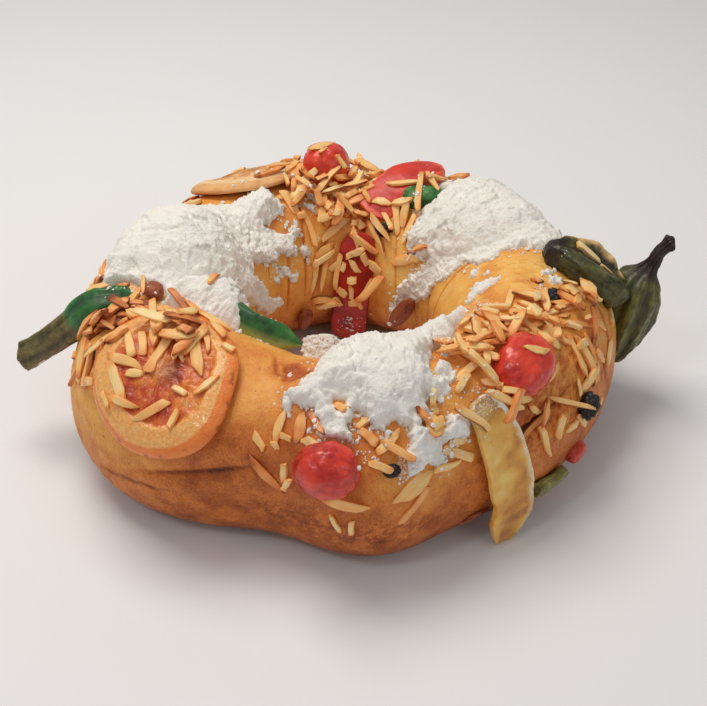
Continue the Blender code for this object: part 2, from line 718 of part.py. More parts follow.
def fuse_slivers(base, draws, toppings):
    """Fuses the almond slivers that lie clear of the other pieces to their base."""
    base_tree = tree_of(base)
    trees = [tree_of(piece) for piece in toppings if piece is not base]
    slivers = bpy.data.collections.new("slivers")
    bpy.context.scene.collection.children.link(slivers)
    stations = np.linspace(-1, 1, 7)
    edges = np.array([(x, y, z) for x in stations for y in (-1, 1) for z in (-1, 1)], float)
    for u, v, turn, tip, size, bend in draws:
        place = surface_spot(base_tree, seat(u, v))
        if place is None:
            continue
        probe = sliver_points(edges, place, turn, tip, size, bend)
        if probe[:, 2].min() < LOWEST_SLIVER or not is_clear(probe, trees, SLIVER_CLEARANCE):
            continue
        piece = make_sliver(place, turn, tip, size, bend)
        bpy.data.collections["bolo_rei"].objects.unlink(piece)
        slivers.objects.link(piece)
    join = base.modifiers.new("join_slivers", "BOOLEAN")
    join.operation = "UNION"
    join.operand_type = "COLLECTION"
    join.collection = slivers
    join.solver = "MANIFOLD"
    applied(base)
    for piece in list(slivers.objects):
        bpy.data.objects.remove(piece)
    bpy.data.collections.remove(slivers)


def make_fig_half(grow=0.0):
    """Half a fig that leans over the right shoulder, its stem end on top."""
    outline = ((0, 0.06, 0.3, 0.6, 0.9, 1), (0.12, 0.5, 0.95, 1, 0.6, 0.15))
    return make_strip(
        "fig_half", FIG_HALF_ROUTE, FIG_HALF_WIDTH, FIG_HALF_DEPTH, outline, "candied_fig", grow
    )


def make_fruit(grow=0.0):
    """All the fruit and nuts, by name, or copies of them grown by a clearance."""
    pieces = {}
    for number, (name, at, turn, size, lift, material, crease) in enumerate(ROUND_PIECES):
        detail = (14, 9) if max(size) > 18 else (10, 6)
        pieces[name] = make_round_fruit(
            name, at, turn, size, lift, material, crease, number, grow, detail
        )
    for name, at, turn, size, lift in ORANGE_SLICES:
        pieces[name] = make_orange_slice(name, at, turn, size, lift, grow)
    for name, route, width, depth, outline, material in STRIPS:
        pieces[name] = make_strip(name, route, width, depth, outline, material, grow)
    pieces["fig_half"] = make_fig_half(grow)
    pieces["fig_whole"] = make_stalked_fruit(
        "fig_whole", FIG_AXIS, FIG_GIRTH, 9, 0.05, "candied_fig", grow, (18, 13)
    )
    pieces["green_pear"] = make_stalked_fruit(
        "green_pear", PEAR_AXIS, PEAR_GIRTH, 6, 0.06, "candied_green", grow, (12, 14)
    )
    return pieces


# Where two pieces meet, the first is cut to make room for the second
MEETINGS = (
    ("sugar_left", ("green_pear", "green_strip", "cherry_left", "orange_slice_back", "orange_slice_front")),
    ("sugar_left", ("brown_almond_crest", "brown_almond_low", "brown_almond_edge")),
    ("sugar_right", ("green_chunk", "fig_half", "red_slab", "almond_inner_right", "raisin_hollow")),
    ("sugar_front", ("cherry_front", "sugared_chunk", "citron_strip", "raisin_front", "cherry_right")),
    ("fig_half", ("fig_whole",)),
    ("green_chunk", ("red_slab",)),
    ("red_strip", ("red_slab",)),
    ("raisin_hollow", ("red_slab", "red_strip")),
    ("orange_slice_back", ("cherry_back",)),
    ("orange_slice_front", ("raisin_left", "brown_almond_low")),
)


def start_scene():
    """Clears the scene and makes the collections, the materials and the empty that carries all pieces."""
    for thing in list(bpy.data.objects):
        bpy.data.objects.remove(thing)
    for name in ("bolo_rei", "cutters"):
        bpy.context.scene.collection.children.link(bpy.data.collections.new(name))
    for name, (colour, roughness) in MATERIALS.items():
        make_material(name, colour, roughness)
    centre = bpy.data.objects.new("ring_centre", None)
    centre.location = RING_PLACE
    bpy.data.collections["bolo_rei"].objects.link(centre)


def main():
    """Builds the bread and its toppings."""
    start_scene()
    grown = {}
    for name, piece in make_fruit(CUT_GAP).items():
        piece.name = "room_for_" + name
        grown[name] = cutter(piece)
    pieces = make_fruit()
    for name, blobs in SUGAR_HEAPS.items():
        pieces[name] = make_heap(name, blobs)
    for name, others in MEETINGS:
        cut(pieces[name], *(grown[other] for other in others))
    for name in dict(MEETINGS):
        applied(pieces[name])
    for tool in grown.values():
        bpy.data.objects.remove(tool)
    toppings = list(pieces.values())
    pieces["bread"] = make_dough()
    fuse_slivers(pieces["bread"], [*large_draws(LARGE_SLIVERS), *sliver_draws()], toppings)
    fuse_slivers(pieces["orange_slice_front"], large_draws(ORANGE_SLIVERS), list(pieces.values()))


main()
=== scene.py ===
"""Bolo rei, dressed: a ring of sweet bread under candied fruit, slivered almonds and icing sugar.

Every piece is a surface worked out with numpy in the ring's own terms. A place on the crust is a pair of
angles in degrees: u goes round the ring from +X towards +Y, and v goes round its section, 0 at the outer
side, 90 on top and 180 at the inner side. Lengths are in metres unless a name or a comment says mm.
"""

from __future__ import annotations

import functools
import logging
import math
from dataclasses import dataclass, field
from enum import Enum

import bpy
import numpy as np
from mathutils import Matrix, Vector
from mathutils.bvhtree import BVHTree
from numpy.typing import NDArray


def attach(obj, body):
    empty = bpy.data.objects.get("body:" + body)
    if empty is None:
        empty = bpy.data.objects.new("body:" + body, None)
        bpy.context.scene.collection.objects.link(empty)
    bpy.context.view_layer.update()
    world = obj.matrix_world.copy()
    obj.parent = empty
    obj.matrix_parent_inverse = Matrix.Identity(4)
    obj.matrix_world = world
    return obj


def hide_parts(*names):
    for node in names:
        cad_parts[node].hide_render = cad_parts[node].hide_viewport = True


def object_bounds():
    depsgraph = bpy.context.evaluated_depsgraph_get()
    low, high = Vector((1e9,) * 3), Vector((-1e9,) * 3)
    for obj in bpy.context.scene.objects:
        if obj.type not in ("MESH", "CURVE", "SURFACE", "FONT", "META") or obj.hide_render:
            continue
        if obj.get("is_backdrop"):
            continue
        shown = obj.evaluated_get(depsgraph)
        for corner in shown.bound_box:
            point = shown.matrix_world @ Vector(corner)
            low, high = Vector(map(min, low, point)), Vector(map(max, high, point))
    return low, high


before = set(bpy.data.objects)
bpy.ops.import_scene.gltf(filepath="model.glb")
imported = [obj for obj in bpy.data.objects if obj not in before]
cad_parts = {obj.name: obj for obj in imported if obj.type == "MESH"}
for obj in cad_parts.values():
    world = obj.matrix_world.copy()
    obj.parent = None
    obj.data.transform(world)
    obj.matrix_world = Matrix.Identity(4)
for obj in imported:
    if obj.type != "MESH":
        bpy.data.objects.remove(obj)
CAD_BOX = tuple(tuple(corner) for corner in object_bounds())

Array = NDArray[np.float64]
Whole = NDArray[np.int64]
Pair = tuple[float, float]
Triple = tuple[float, float, float]
Stops = tuple[tuple[float, str], ...]
Socket = bpy.types.NodeSocket
MM = 0.001
# The middle of the ring's hole, seen from the middle of the part's footprint
RING_PLACE = np.array([-1.48, 3.36, 0.0]) * MM
LOG = logging.getLogger("bolo_rei")


def smooth_step(value: Array, low: float, high: float) -> Array:
    """Returns 0 below low, 1 above high, and a smooth climb between them."""
    share = np.clip((np.asarray(value, float) - low) / (high - low), 0, 1)
    return share * share * (3 - 2 * share)


def lattice_mix(mix: NDArray[np.uint32]) -> NDArray[np.uint32]:
    """Returns whole numbers whose bits are mixed up by shifts and multiplications."""
    for shift, factor in ((15, 2246822519), (13, 3266489917), (16, 668265263)):
        mix = (mix ^ (mix >> np.uint32(shift))) * np.uint32(factor)
    return mix ^ (mix >> np.uint32(15))


def angle_between(first: Array | float, second: Array | float) -> Array:
    """Returns the signed difference of two angles in degrees, from -180 to 180."""
    return (np.asarray(first, float) - second + 180) % 360 - 180


def angle_bell(u: Array, v: Array, at: Pair, spread: Pair, power: int = 2) -> Array:
    """Returns a bell round a pair of angles, with a spread for each and the power of its fall along v."""
    aside = (angle_between(v, at[1]) / spread[1]) ** power
    return np.exp(-((angle_between(u, at[0]) / spread[0]) ** 2) - aside)


def unit(vectors: Array) -> Array:
    """Returns the vectors with length one."""
    return vectors / np.maximum(np.linalg.norm(vectors, axis=-1, keepdims=True), 1e-12)


def linear(colour: str) -> tuple[float, float, float, float]:
    """Turns an sRGB hex colour into linear red, green, blue and alpha."""
    levels = [int(colour[i : i + 2], 16) / 255 for i in (0, 2, 4)]
    red, green, blue = (c / 12.92 if c <= 0.04045 else ((c + 0.055) / 1.055) ** 2.4 for c in levels)
    return red, green, blue, 1.0


@dataclass(frozen=True)
class Unevenness:
    """Seeded noise in three dimensions, for lumps, creases and wrinkles.

    Attributes:
        seed: Picks one field out of many.
    """

    seed: int = 0

    def slopes(self, corner: Array) -> Array:
        """Returns three numbers from -1 to 1 for each lattice corner, hashed from its place."""
        primes = np.array([73856093, 19349663, 83492791], np.uint32)
        whole = corner.astype(np.int64).astype(np.uint32) * primes
        mix = lattice_mix(whole[..., 0] ^ whole[..., 1] ^ whole[..., 2] ^ np.uint32(self.seed * 7919 + 97))
        ten_bits = 1023
        parts = [(mix >> np.uint32(bits)) & np.uint32(ten_bits) for bits in (0, 10, 20)]
        return np.stack(parts, -1) / (ten_bits / 2) - 1

    def field(self, points: Array, size: float) -> Array:
        """Gradient noise: the smooth blend of the rises of eight corner slopes towards each point.

        Args:
            points: Places in metres, with three numbers in the last axis.
            size: Distance between lattice corners, in metres.

        Returns:
            A number from about -1 to 1 for each point.
        """
        place = points / size
        base = np.floor(place)
        inside = place - base
        fade = inside**3 * (inside * (inside * 6 - 15) + 10)
        total = np.zeros(points.shape[:-1])
        for corner in np.ndindex(2, 2, 2):
            step = np.array(corner)
            rise = np.sum(self.slopes(base + step) * (inside - step), -1)
            total += rise * np.prod(np.where(step == 1, fade, 1 - fade), -1)
        return 1.6 * total

    def layers(self, points: Array, size: float, count: int = 4, billow: bool = False) -> Array:
        """Noise at several sizes, each half of the last and half as strong.

        Args:
            points: Places in metres.
            size: Size of the largest lumps.
            count: How many sizes there are.
            billow: Takes the noise's size without its sign, which gives round lumps with creases between.

        Returns:
            A number from about -1 to 1 for each point.
        """
        total = np.zeros(points.shape[:-1])
        for k in range(count):
            one = Unevenness(self.seed + 11 * k).field(points + 0.013 * k, size / 2**k)
            total += 0.5**k * (2.4 * np.abs(one) - 0.6 if billow else one)
        return total / 1.5

    def blocks(self, points: Array, size: float) -> Array:
        """Returns a number from -1 to 1 that is the same all over each of many irregular blocks."""
        warp = np.stack([self.field(points + k, size * 0.6) for k in (0.1, 0.2, 0.3)], -1)
        return self.nearest(points / size + 0.35 * warp)[1]

    def cells(self, points: Array, size: float) -> Array:
        """Returns the distance to the nearest of scattered centres, as a share of their spacing."""
        return np.sqrt(self.nearest(points / size)[0])

    def nearest(self, place: Array) -> tuple[Array, Array]:
        """Returns the squared distance to the nearest scattered centre, and a number that belongs to it."""
        nearest, level = np.full(place.shape[:-1], np.inf), np.zeros(place.shape[:-1])
        for step in np.ndindex(3, 3, 3):
            cell = np.floor(place) + np.array(step) - 1
            slopes = self.slopes(cell)
            away = np.sum((place - cell - 0.5 - 0.45 * slopes) ** 2, -1)
            level = np.where(away < nearest, slopes[..., 0], level)
            nearest = np.minimum(nearest, away)
        return nearest, level


@dataclass(frozen=True)
class Ring:
    """The hand-shaped ring of dough, as the CAD model gives it, in millimetres and degrees.

    The section is a superellipse whose radii follow u, with shallow waves and folds on it, and the sole
    is cut off flat at the floor.

    Attributes:
        outer_mm: Outer radius before the swells.
        inner_mm: Radius of the hole before the swells.
        height_mm: Height before the swells.
        waist_share: Share of the height at which the section is widest.
        sole_depth: How far the section would reach below the waist, as a share of the waist's height.
        top_squareness: Power of the section above the waist.
        sole_squareness: Power of the section below it.
        crust_radius: Radius in metres by which angles round the ring become lengths.
        section_radius: Radius in metres by which angles round the section become lengths.
        swells: Where the sizes swell or shrink.
        folds: Long grooves in the crust.
    """

    outer_mm: float = 129
    inner_mm: float = 45
    height_mm: float = 78
    waist_share: float = 0.45
    sole_depth: float = 1.05
    top_squareness: float = 2.15
    sole_squareness: float = 2.35
    crust_radius: float = 86 * MM
    section_radius: float = 39 * MM
    # Angle and spread in degrees, then what is added to the outer and inner radius and the height, in mm
    swells: tuple[tuple[float, ...], ...] = (
        (190, 13, -3, 0, 0), (212, 13, 5, 0, 1), (255, 13, -16, 0, -2), (275, 13, 6, -1, 0),
        (295, 13, -11, 0, 0), (316, 13, -6, 1, -1), (338, 13, -4, 0, 0), (95, 40, 0, 6, 0),
        (30, 16, -3, 0, 1), (62, 14, 3, -2, 0), (88, 10, -4, 3, -3), (122, 15, 2, -2, 0),
        (150, 14, -4, 0, -1),
    )
    # u, v and turn in degrees, then length, width and depth in mm
    folds: tuple[tuple[float, ...], ...] = (
        (82, 138, 90, 62, 12, 4.5), (104, 160, 62, 26, 4, 2.2), (128, 150, 75, 40, 7, 2.4),
        (240, 14, 24, 40, 4, 2.2), (314, 28, 12, 44, 6, 4.0), (254, 88, 0, 14, 7, 1.6),
        (40, 20, 70, 50, 8, 3.0), (150, 22, 115, 46, 8, 2.6),
    )

    def sizes(self, u: Array) -> tuple[Array, Array, Array]:
        """Returns the outer radius, inner radius and height at angle u."""
        outer, inner, height = (n * MM + 0 * u for n in (self.outer_mm, self.inner_mm, self.height_mm))
        for at, spread, more_outer, more_inner, more_height in self.swells:
            bell = MM * np.exp(-0.5 * (angle_between(u, at) / spread) ** 2)
            outer = outer + more_outer * bell
            inner = inner + more_inner * bell
            height = height + more_height * bell
        return outer, inner, height

    def beside(self, u: Array, v: Array, at_u: float, at_v: float) -> tuple[Array, Array]:
        """Returns how far in metres places lie along the ring and round its section from one place."""
        along = angle_between(u, at_u) * math.radians(self.crust_radius)
        return along, angle_between(v, at_v) * math.radians(self.section_radius)

    def groove(self, u: Array, v: Array, fold: tuple[float, ...]) -> Array:
        """Works out one long groove: a bell across it and a flat-topped one along it.

        Args:
            u: Angles round the ring.
            v: Angles round the section.
            fold: A row of the folds.

        Returns:
            How deep it is at each place, in metres.
        """
        at_u, at_v, turn, length, width, depth = fold
        x, y = self.beside(u, v, at_u, at_v)
        c, s = math.cos(math.radians(turn)), math.sin(math.radians(turn))
        along, across = x * c + y * s, y * c - x * s
        bell = np.exp(-((2 * along / (length * MM)) ** 4) - (across / (width * MM)) ** 2)
        return depth * MM * bell

    def blot(self, u: Array, v: Array, at_u: float, at_v: float, spread_mm: float) -> Array:
        """Makes a round bell on the crust, exp(-distance squared / spread squared).

        Args:
            u: Angles round the ring.
            v: Angles round the section.
            at_u: Angle of its middle round the ring.
            at_v: Angle of its middle round the section.
            spread_mm: Its spread in mm.

        Returns:
            1 in its middle and less round it.
        """
        x, y = (way / (spread_mm * MM) for way in self.beside(u, v, at_u, at_v))
        return np.exp(-x * x - y * y)

    def relief(self, u: Array, v: Array) -> Array:
        """Adds up two shallow waves and the folds, which fade out towards the sole.

        Args:
            u: Angles round the ring.
            v: Angles round the section.

        Returns:
            How far the crust stands proud of the smooth section, in metres.
        """
        a, b = np.radians(u), np.radians(v)
        rise = 0.9 * MM * np.sin(5 * a + 2 * b + 0.6) * np.sin(3 * b - 2 * a)
        rise = rise + 0.6 * MM * np.sin(9 * a - 3 * b + 2.1)
        for fold in self.folds:
            rise = rise - self.groove(u, v, fold)
        return rise * smooth_step(np.sin(b), -0.75, -0.2)

    def middle(self, u: Array) -> tuple[Array, Array]:
        """Returns the radius and height of the section's middle, from which v is counted."""
        outer, inner, height = self.sizes(u)
        return (outer + inner) / 2, self.waist_share * height

    def reach(self, u: Array, v: Array) -> Array:
        """Solves the superellipse of the section, whose power and lower reach change below the waist.

        Args:
            u: Angles round the ring.
            v: Angles round the section.

        Returns:
            How far the crust lies from the section's middle in direction v.
        """
        outer, inner, height = self.sizes(u)
        half = (outer - inner) / 2
        waist = self.waist_share * height
        cosine, sine = np.cos(np.radians(v)), np.sin(np.radians(v))
        upper = smooth_step(sine, -0.25, 0.25)
        power = self.sole_squareness + (self.top_squareness - self.sole_squareness) * upper
        reach = waist * self.sole_depth + (height - waist - waist * self.sole_depth) * upper
        smooth = (np.abs(cosine / half) ** power + np.abs(sine / reach) ** power) ** (-1 / power)
        return smooth + self.relief(u, v)

    def crust(self, u: Array | float, v: Array | float, lift: Array | float = 0.0) -> Array:
        """Finds points on the crust, or lifted off it, never below the floor.

        Args:
            u: Angles round the ring.
            v: Angles round the section.
            lift: How far off the crust, in metres.

        Returns:
            The points, with three numbers in the last axis.
        """
        u, v, lift = np.broadcast_arrays(np.asarray(u, float), np.asarray(v, float), lift)
        middle, waist = self.middle(u)
        reach = self.reach(u, v) + lift
        radius = middle + reach * np.cos(np.radians(v))
        z = np.maximum(waist + reach * np.sin(np.radians(v)), 0)
        return np.stack([radius * np.cos(np.radians(u)), radius * np.sin(np.radians(u)), z], -1)

    def place_of(self, points: Array) -> tuple[Array, Array, Array]:
        """Returns the u and v of points, and how far they stand off the crust."""
        u = np.degrees(np.arctan2(points[..., 1], points[..., 0]))
        middle, waist = self.middle(u)
        outwards = np.hypot(points[..., 0], points[..., 1]) - middle
        upwards = points[..., 2] - waist
        v = np.degrees(np.arctan2(upwards, outwards))
        return u, v % 360, np.hypot(outwards, upwards) - self.reach(u, v)

    def seat(self, u: Array, v: Array, turn: float = 0.0) -> tuple[Array, Array, Array, Array]:
        """Finds crust points and three axes there.

        Args:
            u: Angle round the ring.
            v: Angle round the section.
            turn: Degrees by which the first two axes are turned on the crust.

        Returns:
            The points, the axes along the ring and across it, both turned, and the outward axis.
        """
        spot = self.crust(u, v)
        along = unit(self.crust(np.add(u, 1.0), v) - self.crust(np.subtract(u, 1.0), v))
        across = self.crust(u, np.add(v, 1.0)) - self.crust(u, np.subtract(v, 1.0))
        out = unit(np.cross(along, across))
        across = np.cross(out, along)
        c, s = math.cos(math.radians(turn)), math.sin(math.radians(turn))
        return spot, along * c + across * s, across * c - along * s, out

    def patch(self, at: Pair, turn: float, x: Array, y: Array) -> tuple[Array, Array]:
        """Bends a flat patch round the crust.

        Args:
            at: u and v of its middle.
            turn: Its turn on the crust in degrees.
            x: Distances along it in metres.
            y: Distances across it in metres.

        Returns:
            The u and v of each place on it.
        """
        c, s = math.cos(math.radians(turn)), math.sin(math.radians(turn))
        along, across = x * c - y * s, x * s + y * c
        v = at[1] + np.degrees(across / self.reach(np.float64(at[0]), np.float64(at[1])))
        spot = self.crust(at[0], v)
        return at[0] + np.degrees(along / np.hypot(spot[..., 0], spot[..., 1])), v


RING = Ring()


@dataclass
class Surface:
    """A closed surface of one piece, before its mesh is made.

    Attributes:
        points: Its points in the ring's frame.
        faces: Arrays of faces, each with one count of corners.
        marks: Numbers or vectors for every point, which the materials read by name.
    """

    points: Array
    faces: list[Whole]
    marks: dict[str, Array] = field(default_factory=dict)

    @staticmethod
    def rings(rings: Array, marks: dict[str, Array] | None = None) -> Surface:
        """Closes a stack of rings with a pole at each end.

        Args:
            rings: Points with axes for the ring, the place on it and the coordinate.
            marks: Numbers for the same places.

        Returns:
            The closed surface, whose poles are the middles of the end rings.
        """
        count, around = rings.shape[:2]
        first, last = count * around, count * around + 1

        def with_poles(grid: Array) -> Array:
            """Returns a grid as one list, with the middles of its end rings after it."""
            ends = np.stack([grid[0].mean(0), grid[-1].mean(0)])
            return np.concatenate([grid.reshape(count * around, *grid.shape[2:]), ends])

        index = np.arange(count * around).reshape(count, around)
        after = np.roll(index, -1, axis=1)
        quads = np.stack([index[:-1], after[:-1], after[1:], index[1:]], -1).reshape(-1, 4)
        starts = np.stack([after[0], index[0], np.full(around, first)], -1)
        ends = np.stack([index[-1], after[-1], np.full(around, last)], -1)
        named = {name: with_poles(np.asarray(grid)) for name, grid in (marks or {}).items()}
        return Surface(with_poles(rings), [quads, np.concatenate([starts, ends])], named)

    @staticmethod
    def sheet(top: Array, bottom: Array, cells: NDArray[np.bool_]) -> Surface:
        """Closes a part of a grid: its cells above, the same cells below, and a wall along their rim.

        Args:
            top: Grid of the points above.
            bottom: Grid of the points below.
            cells: Which cells of the grid belong to the part.

        Returns:
            The closed surface with the mark tone at 0.
        """
        size = top.shape[0] * top.shape[1]
        index = np.arange(size).reshape(top.shape[:2])
        quad = np.stack([index[:-1, :-1], index[1:, :-1], index[1:, 1:], index[:-1, 1:]], -1)[cells]
        ends = np.concatenate([quad[:, [k, (k + 1) % 4]] for k in range(4)])
        _, first, count = np.unique(np.sort(ends, axis=1), axis=0, return_index=True, return_counts=True)
        rim = ends[first[count == 1]]
        sides = np.stack([rim[:, 1], rim[:, 0], rim[:, 0] + size, rim[:, 1] + size], -1)
        faces = np.concatenate([quad, quad[:, ::-1] + size, sides])
        used, faces = np.unique(faces, return_inverse=True)
        points = np.concatenate([top.reshape(-1, 3), bottom.reshape(-1, 3)])[used]
        return Surface(points, [faces.reshape(-1, 4)], {"tone": np.zeros(len(points))})

    @staticmethod
    def joined(parts: list[Surface]) -> Surface:
        """Returns many surfaces as one, with their marks."""
        start = np.cumsum([0] + [len(part.points) for part in parts[:-1]])
        faces = [face + shift for part, shift in zip(parts, start) for face in part.faces]
        widths = sorted({face.shape[1] for face in faces})
        stacked = [np.concatenate([f for f in faces if f.shape[1] == width]) for width in widths]
        marks = {name: np.concatenate([part.marks[name] for part in parts]) for name in parts[0].marks}
        return Surface(np.concatenate([part.points for part in parts]), stacked, marks)

    def normals(self) -> Array:
        """Adds up the directions of the faces round each point.

        Returns:
            The direction at each point, with length one.
        """
        total = np.zeros_like(self.points)
        for face in self.faces:
            a, b, c = (self.points[face[:, k]] for k in (0, 1, 2))
            d = self.points[face[:, -1]]
            way = np.cross(c - a, d - b) if face.shape[1] == 4 else np.cross(b - a, c - a)
            for k in range(face.shape[1]):
                np.add.at(total, face[:, k], way)
        return unit(total)

    def facing_out(self) -> Surface:
        """Turns every face round if the surface holds a negative volume.

        Returns:
            The same surface.
        """
        volume = 0.0
        for face in self.faces:
            for k in range(1, face.shape[1] - 1):
                a, b, c = (self.points[face[:, n]] for n in (0, k, k + 1))
                volume += float(np.sum(a * np.cross(b, c)))
        if volume < 0:
            self.faces = [face[:, ::-1] for face in self.faces]
        return self

    def piece(self, name: str, finish: Finish, *nodes: str, sharp: float = 180) -> None:
        """Makes the Blender object, with its place in its mesh, dresses it, and ties it to the frame.

        Args:
            name: Name of the piece.
            finish: Its material.
            nodes: CAD nodes that it stands for.
            sharp: Faces that turn more than this, in degrees, meet in an edge.
        """
        self.facing_out()
        mesh = bpy.data.meshes.new(name)
        mesh.vertices.add(len(self.points))
        placed = np.clip(self.points + RING_PLACE, *np.array(CAD_BOX))
        mesh.vertices.foreach_set("co", np.ascontiguousarray(placed, np.float32).ravel())
        corners = np.concatenate([face.ravel() for face in self.faces])
        widths = np.concatenate([np.full(len(face), face.shape[1]) for face in self.faces])
        mesh.loops.add(len(corners))
        mesh.loops.foreach_set("vertex_index", corners.astype(np.int32))
        mesh.polygons.add(len(widths))
        starts = np.concatenate([[0], np.cumsum(widths)[:-1]])
        mesh.polygons.foreach_set("loop_start", starts.astype(np.int32))
        mesh.update(calc_edges=True)
        mesh.validate()
        mesh.shade_smooth()
        if sharp < 180:
            mesh.set_sharp_from_angle(angle=math.radians(sharp))
        for mark, numbers in self.marks.items():
            kind, key = ("FLOAT_VECTOR", "vector") if numbers.ndim > 1 else ("FLOAT", "value")
            layer = mesh.attributes.new(mark, kind, "POINT")
            layer.data.foreach_set(key, np.ascontiguousarray(numbers, np.float32).ravel())
        mesh.materials.append(finish.material())
        piece = bpy.data.objects.new(name, mesh)
        bpy.context.scene.collection.objects.link(piece)
        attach(piece, "root")
        if nodes:
            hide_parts(*nodes)
        LOG.info("%s: %d points, %d faces", name, len(self.points), len(widths))


def add_node(
    tree: bpy.types.NodeTree, kind: str, inputs: dict | None = None, stops: Stops = (), **settings: object
) -> bpy.types.Node:
    """Adds one shader node with its settings and links.

    Args:
        tree: The node tree.
        kind: The node's type, without its ShaderNode prefix.
        inputs: A value or an output socket for each input, by name or number.
        stops: Places and sRGB hex colours of a colour ramp.
        settings: Values for the node's own properties.

    Returns:
        The node.
    """
    node = tree.nodes.new("ShaderNode" + kind)
    for name, value in settings.items():
        setattr(node, name, value)
    for key, value in (inputs or {}).items():
        if isinstance(value, Socket):
            tree.links.new(value, node.inputs[key])
        else:
            node.inputs[key].default_value = value
    for count, (at, colour) in enumerate(stops):
        elements = node.color_ramp.elements
        element = elements[count] if count < len(elements) else elements.new(at)
        element.position = at
        element.color = linear(colour)
    return node


@dataclass(frozen=True)
class Shading:
    """The node tree of one material, with short ways to add its commonest nodes.

    Attributes:
        tree: The node tree.
        where: Places on the piece, in metres.
    """

    tree: bpy.types.NodeTree
    where: Socket

    def mark(self, name: str, output: str = "Fac") -> Socket:
        """Returns a mark of the mesh, as a number or as a vector."""
        return add_node(self.tree, "Attribute", attribute_name=name).outputs[output]

    def noise(self, size_mm: float, detail: float, rough: float = 0.5, at: Socket | None = None) -> Socket:
        """Returns noise from 0 to 1 with lumps of a given size, in space or along another place."""
        where = self.where if at is None else at
        inputs = {"Vector": where, "Scale": 1 / (size_mm * MM), "Detail": detail, "Roughness": rough}
        return add_node(self.tree, "TexNoise", inputs).outputs[0]

    def span(self, value: Socket, *ends: float) -> Socket:
        """Returns a value moved from the span of the first two ends to that of the others, or to 0 and 1."""
        return add_node(self.tree, "MapRange", {0: value, **dict(enumerate(ends, 1))}).outputs[0]

    def maths(self, operation: str, *values: Socket | float) -> Socket:
        """Returns what one operation makes of its values."""
        return add_node(self.tree, "Math", dict(enumerate(values)), operation=operation).outputs[0]

    def mix(self, mask: Socket, colour: object, other: object) -> Socket:
        """Returns the first colour where the mask is 0 and the other where it is 1."""
        return add_node(self.tree, "Mix", {0: mask, 6: colour, 7: other}, data_type="RGBA").outputs[2]


@dataclass(frozen=True)
class Zone:
    """A part of a surface with a colour of its own.

    Attributes:
        mark: The mark that masks it.
        stops: Its colours.
        size_mm: Size of its blotches.
    """

    mark: str
    stops: Stops
    size_mm: float = 4


